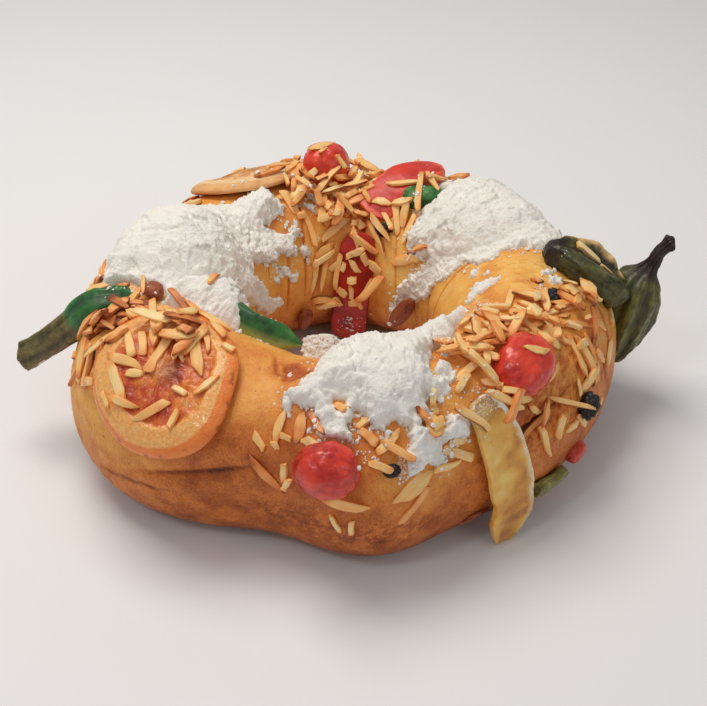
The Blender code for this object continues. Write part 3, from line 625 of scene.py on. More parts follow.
@dataclass(frozen=True)
class Finish:
    """One finish: an uneven colour, zones of other colours, specks, sugar dust, fine relief and gloss.

    Attributes:
        name: What the real material is.
        slot: The record's material slot, not used here.
        stops: Colours of the blotches, from pale to dark.
        size_mm: Size of the blotches.
        contrast: How far the blotches reach along the colours.
        middle: The usual place among the colours, to which the mark tone is added.
        zones: Other colours where a mark says so.
        specks: Spacing and radius of dark pores in mm, and their colour, if it has any.
        grains: Size and depth in mm of each layer of relief finer than the mesh.
        stretch: Draws the blotches along the mark grain instead of in space.
        streaks: Size in mm and strength of streaks drawn along the mark grain.
        stipple: Size in mm and strength of a fine even speckle.
        roughness: Lowest and highest roughness.
        coat: Weight of a glossy syrup or glaze on top.
        coat_roughness: Roughness of that coat.
        depth_mm: How far light gets under the surface, for red, green and blue.
        under: Share of the light that goes under the surface.
    """

    name: str
    slot: str
    stops: Stops
    size_mm: float = 6
    contrast: float = 1.0
    middle: float = 0.5
    zones: tuple[Zone, ...] = ()
    specks: tuple[float, float, str] | None = None
    grains: tuple[Pair, ...] = ()
    stretch: bool = False
    streaks: Pair | None = None
    stipple: Pair | None = None
    roughness: Pair = (0.4, 0.6)
    coat: float = 0.0
    coat_roughness: float = 0.12
    depth_mm: Triple = (2, 1, 0.5)
    under: float = 0.0

    def blotches(self, nodes: Shading, size_mm: float, stops: Stops, place: Socket | None = None) -> Socket:
        """Lays out the colours of a ramp by noise, the mark tone, the streaks and the stipple.

        Args:
            nodes: The material's nodes.
            size_mm: Size of the blotches.
            stops: Places and colours of the ramp.
            place: Where the noise is taken, if not in space.

        Returns:
            The colour.
        """
        noise = nodes.noise(size_mm, 6.0, 0.62, place)
        level = nodes.maths("MULTIPLY_ADD", noise, self.contrast * 2, self.middle - self.contrast)
        level = nodes.maths("ADD", level, nodes.mark("tone"))
        if self.streaks:
            size, strength = self.streaks
            streak = nodes.noise(size, 5.0, 0.6, nodes.mark("grain", "Vector"))
            level = nodes.maths("ADD", level, nodes.span(streak, 0.42, 0.78, 0.0, strength))
        if self.stipple:
            size, strength = self.stipple
            fine = nodes.noise(size, 2.0, 0.7)
            level = nodes.maths("ADD", level, nodes.span(fine, 0.3, 0.7, -strength, strength))
        return add_node(nodes.tree, "ValToRGB", {0: level}, stops).outputs[0]

    def coloured(self, nodes: Shading) -> Socket:
        """Lays the zones over the blotches, and the specks over both.

        Args:
            nodes: The material's nodes.

        Returns:
            The colour.
        """
        place = nodes.mark("grain", "Vector") if self.stretch else None
        colour = self.blotches(nodes, self.size_mm, self.stops, place)
        for zone in self.zones:
            colour = nodes.mix(nodes.mark(zone.mark), colour, self.blotches(nodes, zone.size_mm, zone.stops))
        if self.specks:
            spacing, radius, dark = self.specks
            cells = {"Vector": nodes.where, "Scale": 1 / (spacing * MM)}
            near = add_node(nodes.tree, "TexVoronoi", cells).outputs["Distance"]
            speck = nodes.span(near, radius / spacing * 1.3, radius / spacing * 0.5, 0.0, 0.8)
            patchy = nodes.span(nodes.noise(spacing / 0.16, 2.0), 0.45, 0.62)
            colour = nodes.mix(nodes.maths("MULTIPLY", speck, patchy), colour, linear(dark))
        return colour

    @functools.cache
    def material(self) -> bpy.types.Material:
        """Builds the material once: colour, dust, roughness, a bump for each grain, and the shader's values.

        Returns:
            The node material.
        """
        material = bpy.data.materials.new(self.name)
        material.use_nodes = True
        tree = material.node_tree
        shader = tree.nodes["Principled BSDF"]
        nodes = Shading(tree, add_node(tree, "TexCoord").outputs["Object"])
        # Icing sugar lies as dust where the mark dust says so, broken up by fine grains
        dust = nodes.span(nodes.maths("ADD", nodes.mark("dust"), nodes.noise(0.9, 4.0, 0.75)), 0.98, 1.12)
        colour = nodes.mix(dust, self.coloured(nodes), linear("F3EFE8"))
        rough = nodes.span(nodes.noise(self.size_mm * 0.4, 3.0), 0.35, 0.65, *self.roughness)
        rough = add_node(tree, "Mix", {0: dust, 2: rough, 3: 0.95}).outputs[0]
        tree.links.new(colour, shader.inputs["Base Color"])
        tree.links.new(rough, shader.inputs["Roughness"])
        normal: dict[str, Socket] = {}
        for size_mm, depth_mm in self.grains:
            height = nodes.noise(size_mm, 3.0, 0.6)
            bump = {"Strength": 1.0, "Distance": depth_mm * MM, "Height": height, **normal}
            normal = {"Normal": add_node(tree, "Bump", bump).outputs[0]}
            tree.links.new(normal["Normal"], shader.inputs["Normal"])
        for name, value in {
            "IOR": 1.45,
            "Coat Weight": self.coat,
            "Coat Roughness": self.coat_roughness,
            "Subsurface Weight": self.under,
            "Subsurface Radius": self.depth_mm,
            "Subsurface Scale": MM,
        }.items():
            shader.inputs[name].default_value = value
        return material


# Sweet bread crust: brushed with egg and baked, so a dull satin that browns where the heat reaches it
CRUST = Finish(
    "sweet_bread_crust",
    "crust",
    (
        (0.0, "FAD486"), (0.18, "F6BC60"), (0.38, "EAA04A"),
        (0.55, "D87E34"), (0.72, "B0581C"), (1.0, "5E2A0E"),
    ),
    size_mm=11,
    contrast=0.32,
    middle=0.38,
    zones=(Zone("stain", ((0.0, "E08A44"), (0.5, "CC6A30"), (1.0, "9A4420"))),),
    specks=(5.0, 0.5, "5E2E14"),
    stipple=(0.8, 0.09),
    grains=((3.0, 0.35), (0.9, 0.22)),
    roughness=(0.46, 0.66),
    under=0.12,
)
# Icing sugar: a dry powder pressed into clumps, white without any gloss
ICING_SUGAR = Finish(
    "icing_sugar_powder",
    "icing_sugar",
    ((0.0, "FFFEFA"), (0.6, "FDFAF3"), (1.0, "F6F0E6")),
    size_mm=5,
    contrast=0.6,
    grains=((1.5, 0.8), (0.6, 0.4)),
    roughness=(0.9, 1.0),
    depth_mm=(0.9, 0.85, 0.8),
    under=0.2,
)
# Slivered almond: cut nut kernel, toasted golden on its edges, with a thin shine of its own oil
TOASTED_ALMOND = Finish(
    "toasted_almond",
    "almond_skin",
    ((0.0, "FFDEA2"), (0.26, "FFCA80"), (0.5, "FAAE66"), (0.74, "E08848"), (1.0, "843E1E")),
    size_mm=2.2,
    contrast=0.3,
    middle=0.38,
    zones=(Zone("skin", ((0.2, "A4602F"), (0.8, "6A3518")), 1.5),),
    grains=((0.9, 0.12),),
    stretch=True,
    roughness=(0.34, 0.5),
    depth_mm=(2.0, 1.0, 0.4),
    under=0.3,
)
# Almond skin: dry and finely wrinkled along the nut
ALMOND_SKIN = Finish(
    "almond_skin",
    "almond_skin",
    ((0.0, "D08A54"), (0.4, "B0623A"), (0.7, "8E4628"), (1.0, "582A18")),
    size_mm=3,
    contrast=0.6,
    grains=((1.0, 0.3),),
    stretch=True,
    roughness=(0.45, 0.62),
)
# Candied orange: flesh soaked in syrup, wet and clear, inside a grainy pith and a waxy rind
CANDIED_ORANGE = Finish(
    "candied_orange",
    "candied_orange",
    ((0.0, "F8B864"), (0.3, "F0943C"), (0.5, "DE7026"), (0.7, "C44416"), (1.0, "902A0E")),
    size_mm=4,
    contrast=0.5,
    middle=0.42,
    zones=(
        Zone("membrane", ((0.2, "F8D09A"), (0.8, "E09A58")), 2.0),
        Zone("pith", ((0.1, "FFDA98"), (0.4, "F8B668"), (0.65, "E89644"), (1.0, "BC642A")), 1.5),
        Zone("rind", ((0.0, "FAA450"), (0.5, "F28436"), (1.0, "D05C22")), 6),
        Zone("scorch", ((0.0, "9A4A26"), (1.0, "5E2414")), 2),
    ),
    grains=((1.8, 0.5), (0.8, 0.3)),
    roughness=(0.25, 0.45),
    coat=0.4,
    depth_mm=(5.0, 1.6, 0.6),
    under=0.28,
)
# Dried candied orange: the same slice left open to the oven, matt and brown all over
DRIED_ORANGE = Finish(
    "dried_candied_orange",
    "candied_orange",
    ((0.0, "F8D29A"), (0.4, "ECB87C"), (0.75, "D0905A"), (1.0, "965C32")),
    size_mm=5,
    contrast=0.45,
    zones=(
        Zone("membrane", ((0.1, "F8E2BC"), (0.9, "E8C088")), 2.0),
        Zone("pith", ((0.0, "FBE4B8"), (0.5, "F4CE9A"), (1.0, "D6A066")), 3),
        Zone("rind", ((0.0, "F6CC96"), (0.5, "E8B074"), (1.0, "B4703A")), 6),
    ),
    grains=((1.6, 0.4), (0.7, 0.15)),
    roughness=(0.5, 0.7),
    depth_mm=(3.0, 1.2, 0.5),
    under=0.15,
)
# Candied cherry: a clear red syrup under a wrinkled, glossy skin
CANDIED_CHERRY = Finish(
    "candied_cherry",
    "candied_cherry",
    ((0.0, "FC8460"), (0.35, "F04E36"), (0.7, "C42A20"), (1.0, "74120E")),
    contrast=0.4,
    middle=0.4,
    grains=((2.0, 0.12), (0.9, 0.1)),
    roughness=(0.18, 0.32),
    coat=0.4,
    coat_roughness=0.08,
    depth_mm=(4.0, 0.9, 0.6),
    under=0.25,
)
# Candied pumpkin dyed red: a sugared slice, duller on its skin and clear where it was cut
CANDIED_PUMPKIN = Finish(
    "candied_pumpkin",
    "candied_pumpkin",
    ((0.0, "EA4028"), (0.45, "C8281C"), (0.8, "921814"), (1.0, "560C0A")),
    size_mm=7,
    contrast=0.6,
    zones=(Zone("pale", ((0.0, "FA7850"), (1.0, "E24E36")), 5),),
    grains=((2.4, 0.25), (0.8, 0.08)),
    roughness=(0.32, 0.48),
    coat=0.12,
    depth_mm=(4.0, 0.8, 0.5),
    under=0.4,
)
# Candied green fruit: dyed deep green, clear and glossy, with bark left on its stalk
CANDIED_GREEN = Finish(
    "candied_green_fruit",
    "candied_green",
    ((0.0, "62A052"), (0.35, "357838"), (0.7, "20502A"), (1.0, "122E18")),
    size_mm=7,
    contrast=0.7,
    zones=(
        Zone("bark", ((0.0, "8E8250"), (0.4, "6C6238"), (0.75, "4A4224"), (1.0, "2C2614")), 3),
        Zone("pale", ((0.0, "B8B45C"), (1.0, "8A9440"))),
    ),
    grains=((2.0, 0.4), (0.7, 0.15)),
    roughness=(0.36, 0.52),
    coat=0.1,
    coat_roughness=0.2,
    depth_mm=(1.0, 3.0, 1.0),
    under=0.25,
)
# Candied fig: green skin in lengthwise ribs, dull and dark where it dried
CANDIED_FIG = Finish(
    "candied_fig",
    "candied_fig",
    ((0.0, "B4B068"), (0.25, "868440"), (0.6, "545428"), (1.0, "22210F")),
    contrast=0.5,
    streaks=(1.5, 0.4),
    zones=(
        Zone("dark", ((0.0, "5A4238"), (0.5, "342422"), (1.0, "161012")), 3),
        Zone("pale", ((0.0, "F8DCA8"), (1.0, "E2B070")), 3),
    ),
    grains=((2.4, 0.6), (0.8, 0.2)),
    roughness=(0.3, 0.5),
    coat=0.15,
    coat_roughness=0.2,
    depth_mm=(1.0, 2.0, 0.6),
    under=0.15,
)
# Candied citron: a pale, clear rind with a browned skin and sugar grains on its rim
CANDIED_CITRON = Finish(
    "candied_citron",
    "candied_citron",
    ((0.0, "F8D078"), (0.35, "ECB04A"), (0.65, "CA8234"), (1.0, "8A4E20")),
    size_mm=9,
    contrast=0.5,
    middle=0.42,
    zones=(
        Zone("pale", ((0.0, "F4E2B0"), (1.0, "D8AC68")), 2),
        Zone("dark", ((0.0, "9C7A40"), (1.0, "6E4C24")), 3),
    ),
    grains=((3.0, 0.5), (0.9, 0.15)),
    roughness=(0.28, 0.46),
    coat=0.2,
    depth_mm=(4.0, 2.4, 0.8),
    under=0.4,
)
# Sugared peel: a pinkish candied cube rolled in coarse sugar
SUGARED_PEEL = Finish(
    "sugared_peel",
    "icing_sugar",
    ((0.0, "F2EAE0"), (0.45, "E4D2C0"), (0.75, "C2A084"), (1.0, "8E6448")),
    size_mm=2.5,
    contrast=0.7,
    grains=((1.4, 0.8), (0.6, 0.3)),
    roughness=(0.5, 0.75),
    depth_mm=(3.0, 2.0, 1.5),
    under=0.3,
)
# Raisin: black skin drawn into fine wrinkles, with dull and shiny patches
RAISIN_SKIN = Finish(
    "raisin_skin",
    "raisin",
    ((0.0, "4A3A3C"), (0.4, "2A2023"), (1.0, "120E12")),
    size_mm=3,
    contrast=0.8,
    grains=((1.2, 0.4),),
    roughness=(0.3, 0.6),
    coat=0.2,
)


@dataclass(frozen=True)
class BrowningAndShade:
    """How dark the crust is: browned in baking, with painted shade towards the sole and painted light under
    the right slivers.

    Attributes:
        marks: u, v, spread in mm and change of tone of each place that is darker or paler than usual.
    """

    # The mark at u 335, v 74 is painted light: it pales the crust under the right slivers to make up for the
    # shadows between them
    marks: tuple[tuple[float, float, float, float], ...] = (
        (262, 34, 26, 0.17), (243, 24, 18, 0.23), (52, 165, 24, -0.2), (335, 74, 30, -0.12),
        (318, 52, 24, 0.1), (255, 90, 9, 0.14), (2, 92, 26, -0.22), (330, 8, 24, 0.05),
        (212, 16, 30, -0.1), (312, 40, 10, 0.12), (250, 62, 18, -0.06),
    )

    def tone(self, u: Array, v: Array, points: Array) -> Array:
        """Adds up the crust's tone: browning and painted shade towards the sole, less inside, patches and
        marks.

        Args:
            u: Angles round the ring.
            v: Angles round the section.
            points: The same places in metres.

        Returns:
            The tone, 0 for the usual one and more for a darker one.
        """
        height = points[..., 2]
        low, lower = smooth_step(-height, -58 * MM, -24 * MM), smooth_step(-height, -30 * MM, -1 * MM)
        broad, fine = Unevenness(3).layers(points, 34 * MM, 2), Unevenness(4).layers(points, 8 * MM, 4)
        inner = smooth_step(-np.abs(angle_between(v, 185)), -75, -20) * smooth_step(height, 8 * MM, 30 * MM)
        # Darker towards the sole: partly browning, partly painted shade of the lower flank
        tone = 0.2 * lower + 0.24 * low
        tone += 0.07 * broad + 0.08 * fine
        tone -= 0.2 * inner
        for at_u, at_v, spread, change in self.marks:
            tone += change * RING.blot(u, v, at_u, at_v, spread)
        return tone


@dataclass(frozen=True)
class Dough:
    """The baked ring: the CAD section with the relief that baking and the hands leave.

    Attributes:
        steps_round: Points round the ring.
        steps_section: Points round the section, fewer of them on the sole.
        browning_and_shade: How brown it is, with painted shade towards the sole and painted light in one
            place.
        creases: Narrow creases in the terms of the folds.
        stains: Where syrup reddened it.
    """

    steps_round: int = 650
    steps_section: int = 148
    browning_and_shade: BrowningAndShade = BrowningAndShade()
    creases: tuple[tuple[float, ...], ...] = (
        (240, 13, 24, 36, 0.9, 1.3), (313, 26, 14, 40, 1.1, 1.6), (82, 138, 90, 60, 1.6, 1.5),
        (104, 160, 62, 34, 1.1, 1.2), (112, 150, 80, 40, 1.3, 1.1), (124, 158, 70, 36, 1.2, 1.0),
        (134, 140, 60, 30, 0.8, 0.7), (60, 160, 110, 40, 1.0, 0.9), (46, 165, 100, 46, 0.9, 0.9),
        (32, 150, 92, 50, 1.2, 0.9), (18, 150, 84, 44, 0.9, 0.7), (249, 92, 120, 12, 0.8, 1.2),
        (258, 86, 40, 16, 1.0, 1.6), (350, 30, 60, 26, 0.9, 0.8), (343, 22, 100, 24, 0.8, 0.7),
        (226, -8, 10, 26, 0.7, 0.6),
    )
    # u, v, spread in mm and strength of the reddish stains that fruit and syrup left
    stains: tuple[tuple[float, float, float, float], ...] = (
        (233, 38, 13, 0.5), (263, 40, 20, 0.55), (314, 58, 18, 0.35), (205, 60, 16, 0.4),
        (122, 126, 13, 0.8), (241, 66, 7, 0.5), (330, 30, 22, 0.3),
    )

    def flakes(self, u: Array, v: Array) -> Array:
        """Draws noise out across the ring into the flaky ridges of the right shoulder.

        Args:
            u: Angles round the ring.
            v: Angles round the section.

        Returns:
            Their height in metres.
        """
        x = np.radians(angle_between(u, 0)) * RING.crust_radius
        y = np.radians(v) * RING.section_radius
        x = x + 1.2 * MM * Unevenness(23).field(np.stack([x, y, 0 * x], -1), 7 * MM)
        place = np.stack([x / 2.2, y / 12, 0 * x], -1)
        ridge = 1 - np.abs(Unevenness(21).field(place, MM) * 1.7)
        ridge = ridge + 0.6 * (1 - np.abs(Unevenness(22).field(place * 1.9, MM) * 1.7))
        return 0.8 * MM * ridge * angle_bell(u, v, (357, 94), (14, 24), 4)

    def leather(self, u: Array, v: Array, points: Array) -> Array:
        """Wrinkles the skin round the right cherry and low on the front.

        Args:
            u: Angles round the ring.
            v: Angles round the section.
            points: The same places in metres.

        Returns:
            A height in metres, below 0 in the wrinkles.
        """
        mask = angle_bell(u, v, (328, 38), (17, 34)) + 0.6 * angle_bell(u, v, (309, 20), (9, 22))
        mask += 0.8 * angle_bell(u, v, (268, -10), (30, 15))
        net = np.abs(Unevenness(31).layers(points * (1, 1, 1.8), 5.5 * MM, 3))
        return -0.55 * MM * mask * (1 - smooth_step(net, 0.0, 0.3))

    def torn(self, u: Array, v: Array) -> Array:
        """Returns where the skin tore open beside the front heap, from 0 to 1."""
        near = angle_bell(u, v, (254.5, 90), (4.2, 11))
        return smooth_step(near + 0.55 * Unevenness(12).layers(RING.crust(u, v), 5 * MM, 3), 0.5, 0.66)

    def fine(self, u: Array, v: Array) -> Array:
        """Adds up the fine relief: low lumps, stretch wrinkles, creases, flakes and a torn pit.

        Args:
            u: Angles round the ring.
            v: Angles round the section.

        Returns:
            Its height in metres.
        """
        smooth = RING.crust(u, v)
        x, y = np.radians(u) * RING.crust_radius, np.radians(v) * RING.section_radius
        drawn = np.stack([np.cos(np.radians(u)) * 0.02 + x * 0, x / 4, y], -1)
        rise = 0.8 * MM * Unevenness(5).layers(smooth, 18 * MM, 3)
        rise += 0.2 * MM * Unevenness(6).layers(smooth, 4 * MM, 2)
        rise += self.leather(u, v, smooth)
        inner = smooth_step(np.cos(np.radians(angle_between(v, 170))), 0.2, 0.9)
        rise -= 0.5 * MM * inner * np.abs(Unevenness(9).field(drawn + smooth * 0.4, 6 * MM))
        for crease in self.creases:
            rise -= RING.groove(u, v, crease)
        rise -= 2.2 * MM * self.torn(u, v)
        rise += self.flakes(u, v)
        return rise * smooth_step(np.sin(np.radians(v)), -0.7, -0.3)

    def build(self, heaps: list[SugarHeap]) -> Surface:
        """Builds the ring: a grid round it and its section, lifted off the CAD crust by the fine relief.

        Args:
            heaps: The heaps of sugar, which leave dust round them.

        Returns:
            The closed ring with its tone, dust and stains.
        """
        angles = np.arange(720) / 2
        total = np.cumsum(np.where(np.abs(angle_between(angles, 270)) < 52, 0.3, 1.0))
        v_steps = np.interp(np.arange(self.steps_section) / self.steps_section * total[-1], total, angles)
        u, v = np.meshgrid(np.arange(self.steps_round) * 360 / self.steps_round, v_steps, indexing="ij")
        points = RING.crust(u, v, self.fine(u, v))
        tone = self.browning_and_shade.tone(u, v, points)
        torn = self.torn(u, v)
        tone += 0.2 * torn * (1 + Unevenness(14).layers(points, 3 * MM, 2))
        # Painted shade: the tone darkens the troughs between the flaky ridges of the right shoulder
        flaky = self.flakes(u, v) / MM
        tone += 0.16 * smooth_step(-flaky, -0.75, -0.3) * (flaky > 0.12)
        # Painted shade: the tone darkens the wrinkles of the leathery skin round the right cherry and low on
        # the front
        tone += 0.25 * smooth_step(-self.leather(u, v, RING.crust(u, v)) / MM, 0.1, 0.5)
        stain = 0.95 * torn
        uneven = np.clip(0.6 + 0.9 * Unevenness(16).layers(points, 8 * MM, 4), 0, 1)
        for at_u, at_v, spread, depth in self.stains:
            stain = np.maximum(stain, depth * RING.blot(u, v, at_u, at_v, spread) * uneven)
        # Painted shade: the tone darkens the crust along the bottoms of the narrow creases
        crease_shade = sum(RING.groove(u, v, crease) / (crease[5] * MM) for crease in self.creases)
        tone += 0.34 * np.clip(crease_shade, 0, 1)
        dust = np.zeros_like(tone)
        for heap in heaps:
            dust = np.maximum(dust, 0.5 * smooth_step(heap.inside(u, v), -5.0, 0.5) ** 2)
        count, around = u.shape
        index = np.arange(count * around).reshape(count, around)
        right, above = np.roll(index, -1, axis=0), np.roll(index, -1, axis=1)
        quads = np.stack([index, right, np.roll(right, -1, axis=1), above], -1).reshape(-1, 4)
        marks = {"tone": tone.ravel(), "dust": dust.ravel(), "stain": stain.ravel()}
        return Surface(points.reshape(-1, 3), [quads], marks)


@dataclass(frozen=True)
class SugarHeap:
    """A heap of icing sugar: rounded blobs on the crust inside a ragged rim, with islands round it.

    Attributes:
        name: The CAD node that it stands for.
        blobs: u and v of each blob, its reach along and across the ring, and its depth, in mm.
        rim: u and v of the corners of its outline.
        islands: u, v and radius in mm of clods apart from it.
        gaps: u, v and radius in mm of bare places within it.
        seed: Picks its lumps.
        buries: Toppings whose ends stick out of it.
        step_mm: Spacing of its points.
    """

    name: str
    blobs: tuple[tuple[float, ...], ...]
    rim: tuple[Pair, ...]
    islands: tuple[Triple, ...]
    gaps: tuple[Triple, ...]
    seed: int
    buries: tuple[str, ...] = ()
    step_mm: float = 0.52

    def flat(self, u: Array | float, v: Array | float) -> Array:
        """Unrolls places from the crust, along the ring and round its section.

        Args:
            u: Angles round the ring.
            v: Angles round the section.

        Returns:
            Two lengths in mm for each place, counted from the first blob.
        """
        v = np.asarray(v, float)
        radius = (RING.crust_radius + RING.section_radius * np.cos(np.radians(v))) / MM
        x = np.radians(angle_between(u, self.blobs[0][0])) * radius
        return np.stack(np.broadcast_arrays(x, np.radians(v) * RING.section_radius / MM), -1)

    def inside(self, u: Array, v: Array) -> Array:
        """Measures how far places lie inside the rim, by their distance and the count of rim crossings.

        Args:
            u: Angles round the ring.
            v: Angles round the section.

        Returns:
            The distance in mm, negative outside, with the islands and gaps counted in.
        """
        place = self.flat(u, v)
        rim = self.flat(*np.array(self.rim).T)
        nearest = np.full(place.shape[:-1], np.inf)
        crossings = np.zeros(place.shape[:-1], int)
        for a, b in zip(rim, np.roll(rim, -1, axis=0)):
            way = b - a
            share = np.clip((place - a) @ way / float(way @ way), 0, 1)
            nearest = np.minimum(nearest, np.linalg.norm(place - a - share[..., None] * way, axis=-1))
            spans = (a[1] > place[..., 1]) != (b[1] > place[..., 1])
            rise = np.where(abs(way[1]) < 1e-9, 1e-9, way[1])
            crossings += spans & (place[..., 0] < a[0] + (place[..., 1] - a[1]) * way[0] / rise)
        depth = np.where(crossings % 2 == 1, nearest, -nearest)
        for at_u, at_v, radius in self.islands:
            depth = np.maximum(depth, radius - np.linalg.norm(place - self.flat(at_u, at_v), axis=-1))
        for at_u, at_v, radius in self.gaps:
            depth = np.minimum(depth, np.linalg.norm(place - self.flat(at_u, at_v), axis=-1) - radius)
        return depth

    def dome(self, u: Array, v: Array) -> Array:
        """Joins the blobs of the CAD model by the root of the sum of their squared depths.

        Args:
            u: Angles round the ring.
            v: Angles round the section.

        Returns:
            The depth of the smooth heap in mm.
        """
        depth = np.zeros(np.broadcast(u, v).shape)
        for at_u, at_v, along, across, deep in self.blobs:
            radius = (RING.crust_radius + RING.section_radius * math.cos(math.radians(at_v))) / MM
            x = np.radians(angle_between(u, at_u)) * radius / along
            y = np.radians(angle_between(v, at_v)) * RING.section_radius / MM / across
            depth = np.hypot(depth, deep * np.clip(1 - x * x - y * y, 0, None) ** 0.8)
        return depth

    def covered(self, u: Array, v: Array, toppings: list[Surface]) -> Array:
        """Rasters toppings over the heap's grid.

        Args:
            u: Grid of angles round the ring.
            v: Grid of angles round the section.
            toppings: Fruit and nuts near the heap.

        Returns:
            The lowest lift of any topping over each place, and 1 where there is none.
        """
        low = np.full(u.shape, 1.0)
        middle, step = u[u.shape[0] // 2, 0], (u[1, 0] - u[0, 0], v[0, 1] - v[0, 0])
        for topping in toppings:
            at_u, at_v, lift = RING.place_of(topping.points)
            i = np.round((angle_between(at_u, middle) + middle - u[0, 0]) / step[0]).astype(int)
            j = np.round((at_v - v[0, 0]) / step[1]).astype(int)
            near = (i >= 1) & (i < u.shape[0] - 1) & (j >= 1) & (j < u.shape[1] - 1)
            i, j, lift = i[near], j[near], lift[near]
            for a, b in np.ndindex(3, 3):
                np.minimum.at(low, (i + a - 1, j + b - 1), lift)
        for _ in range(2):
            for axis, shift in ((0, 1), (0, -1), (1, 1), (1, -1)):
                low = np.minimum(low, np.roll(low, shift, axis))
        return low

    def lumpy(self, u: Array, v: Array) -> tuple[Array, Array]:
        """Breaks up the rim and the smooth heap by round lumps, clods, blocks with edges and a few cracks.

        Args:
            u: Angles round the ring.
            v: Angles round the section.

        Returns:
            How far places lie inside the rim, and how deep the heap is there, both in mm.
        """
        base = RING.crust(u, v)
        noise = Unevenness(self.seed)
        lumps = noise.layers(base, 11 * MM, 3, billow=True)
        clods = noise.layers(base, 4 * MM, 3, billow=True)
        clumps = 0.75 - noise.cells(base, 2.2 * MM)
        inside = self.inside(u, v) + 2.4 * noise.layers(base, 5 * MM, 4) + 1.7 * clumps + 0.4
        thick = np.minimum(self.dome(u, v) + 1.5, 1.3 + 1.3 * inside)
        deep = smooth_step(thick, 2, 7)
        patchy = 0.1 + smooth_step(noise.field(base + 0.6, 13 * MM), -0.25, 0.35)
        thick += lumps * (0.45 + 0.35 * deep)
        thick += (1.35 * (1 - deep) + deep * patchy) * (0.8 * clods + 0.6 * clumps)
        blocks = 0.85 * noise.blocks(base, 8 * MM) + 0.35 * noise.blocks(base + 0.5, 3.2 * MM)
        thick += (0.3 + 0.7 * deep) * blocks
        thick += deep * 1.4 * noise.layers(base, 19 * MM, 2)
        crack = np.abs(noise.field(base + 0.2, 15 * MM)) + 0.25 * np.abs(noise.field(base, 3 * MM))
        cracked = smooth_step(noise.field(base, 22 * MM), 0.0, 0.25)
        return inside, thick - 1.8 * (1 - smooth_step(crack, 0.0, 0.05)) * cracked

    def build(self, toppings: dict[str, Surface]) -> Surface:
        """Builds the heap: a height field over the crust inside the ragged rim, closed by a copy under it.

        Args:
            toppings: The fruit and nuts that it lies against, by name.

        Returns:
            The closed heap.
        """
        corners = np.array([*self.rim, *((u, v) for u, v, _ in self.islands)])
        spread = angle_between(corners[:, 0], self.blobs[0][0]) + self.blobs[0][0]
        du, dv = (np.degrees(self.step_mm * MM / r) for r in (RING.crust_radius, RING.section_radius))
        u, v = np.meshgrid(
            np.arange(spread.min() - 5, spread.max() + 5, du),
            np.arange(corners[:, 1].min() - 6, corners[:, 1].max() + 6, dv),
            indexing="ij",
        )
        inside, thick = self.lumpy(u, v)
        thinnest, gap, brim, overhang = 0.7 * MM, 0.2 * MM, 0.05 * MM, 25 * MM
        depth = np.maximum(MM * thick, thinnest)
        low = self.covered(u, v, [topping for name, topping in toppings.items() if name not in self.buries])
        depth = np.where(low < overhang, np.minimum(depth, low - gap), depth)
        kept = (inside > 0) & (depth > gap)
        cells = kept[:-1, :-1] & kept[1:, :-1] & kept[:-1, 1:] & kept[1:, 1:]
        inner = np.zeros_like(kept)
        inner[1:-1, 1:-1] = cells[:-1, :-1] & cells[1:, :-1] & cells[:-1, 1:] & cells[1:, 1:]
        top = RING.crust(u, v, np.where(inner, depth, brim + 0.3 * np.maximum(depth - thinnest, 0)))
        bottom = RING.crust(u, v, -MM)
        return Surface.sheet(top, bottom, cells)


def curve_through(points: Array, shares: Array, count: int = 120) -> Array:
    """Finds points on the smooth curve through a few points (Catmull-Rom).

    Args:
        points: The points, of which the first three numbers are the place.
        shares: Shares of the curve's length at which to find them.
        count: How many evenly spaced points the curve is measured by.

    Returns:
        The points with all their numbers interpolated.
    """
    points = np.asarray(points, float)
    knots = np.vstack([2 * points[0] - points[1], points, 2 * points[-1] - points[-2]])
    place = np.linspace(0, len(points) - 1, 40 * count)
    k = np.minimum(place.astype(int), len(points) - 2)
    t = (place - k)[:, None]
    a, b, c, d = knots[k], knots[k + 1], knots[k + 2], knots[k + 3]
    bend = (2 * a - 5 * b + 4 * c - d) * t**2 + (3 * b - a - 3 * c + d) * t**3
    dense = 0.5 * (2 * b + (c - a) * t + bend)
    run = np.concatenate([[0], np.cumsum(np.linalg.norm(np.diff(dense[:, :3], axis=0), axis=1))])
    even = [np.interp(np.linspace(0, run[-1], count), run, numbers) for numbers in dense.T]
    return np.stack([np.interp(shares * (count - 1), np.arange(count), numbers) for numbers in even], -1)


def frames_along(path: Array, outward: Array) -> tuple[Array, Array]:
    """Returns the directions across a path and out of it, from rough outward ones."""
    ahead = unit(np.gradient(path, axis=0))
    across = unit(np.cross(ahead, outward))
    return across, np.cross(across, ahead)


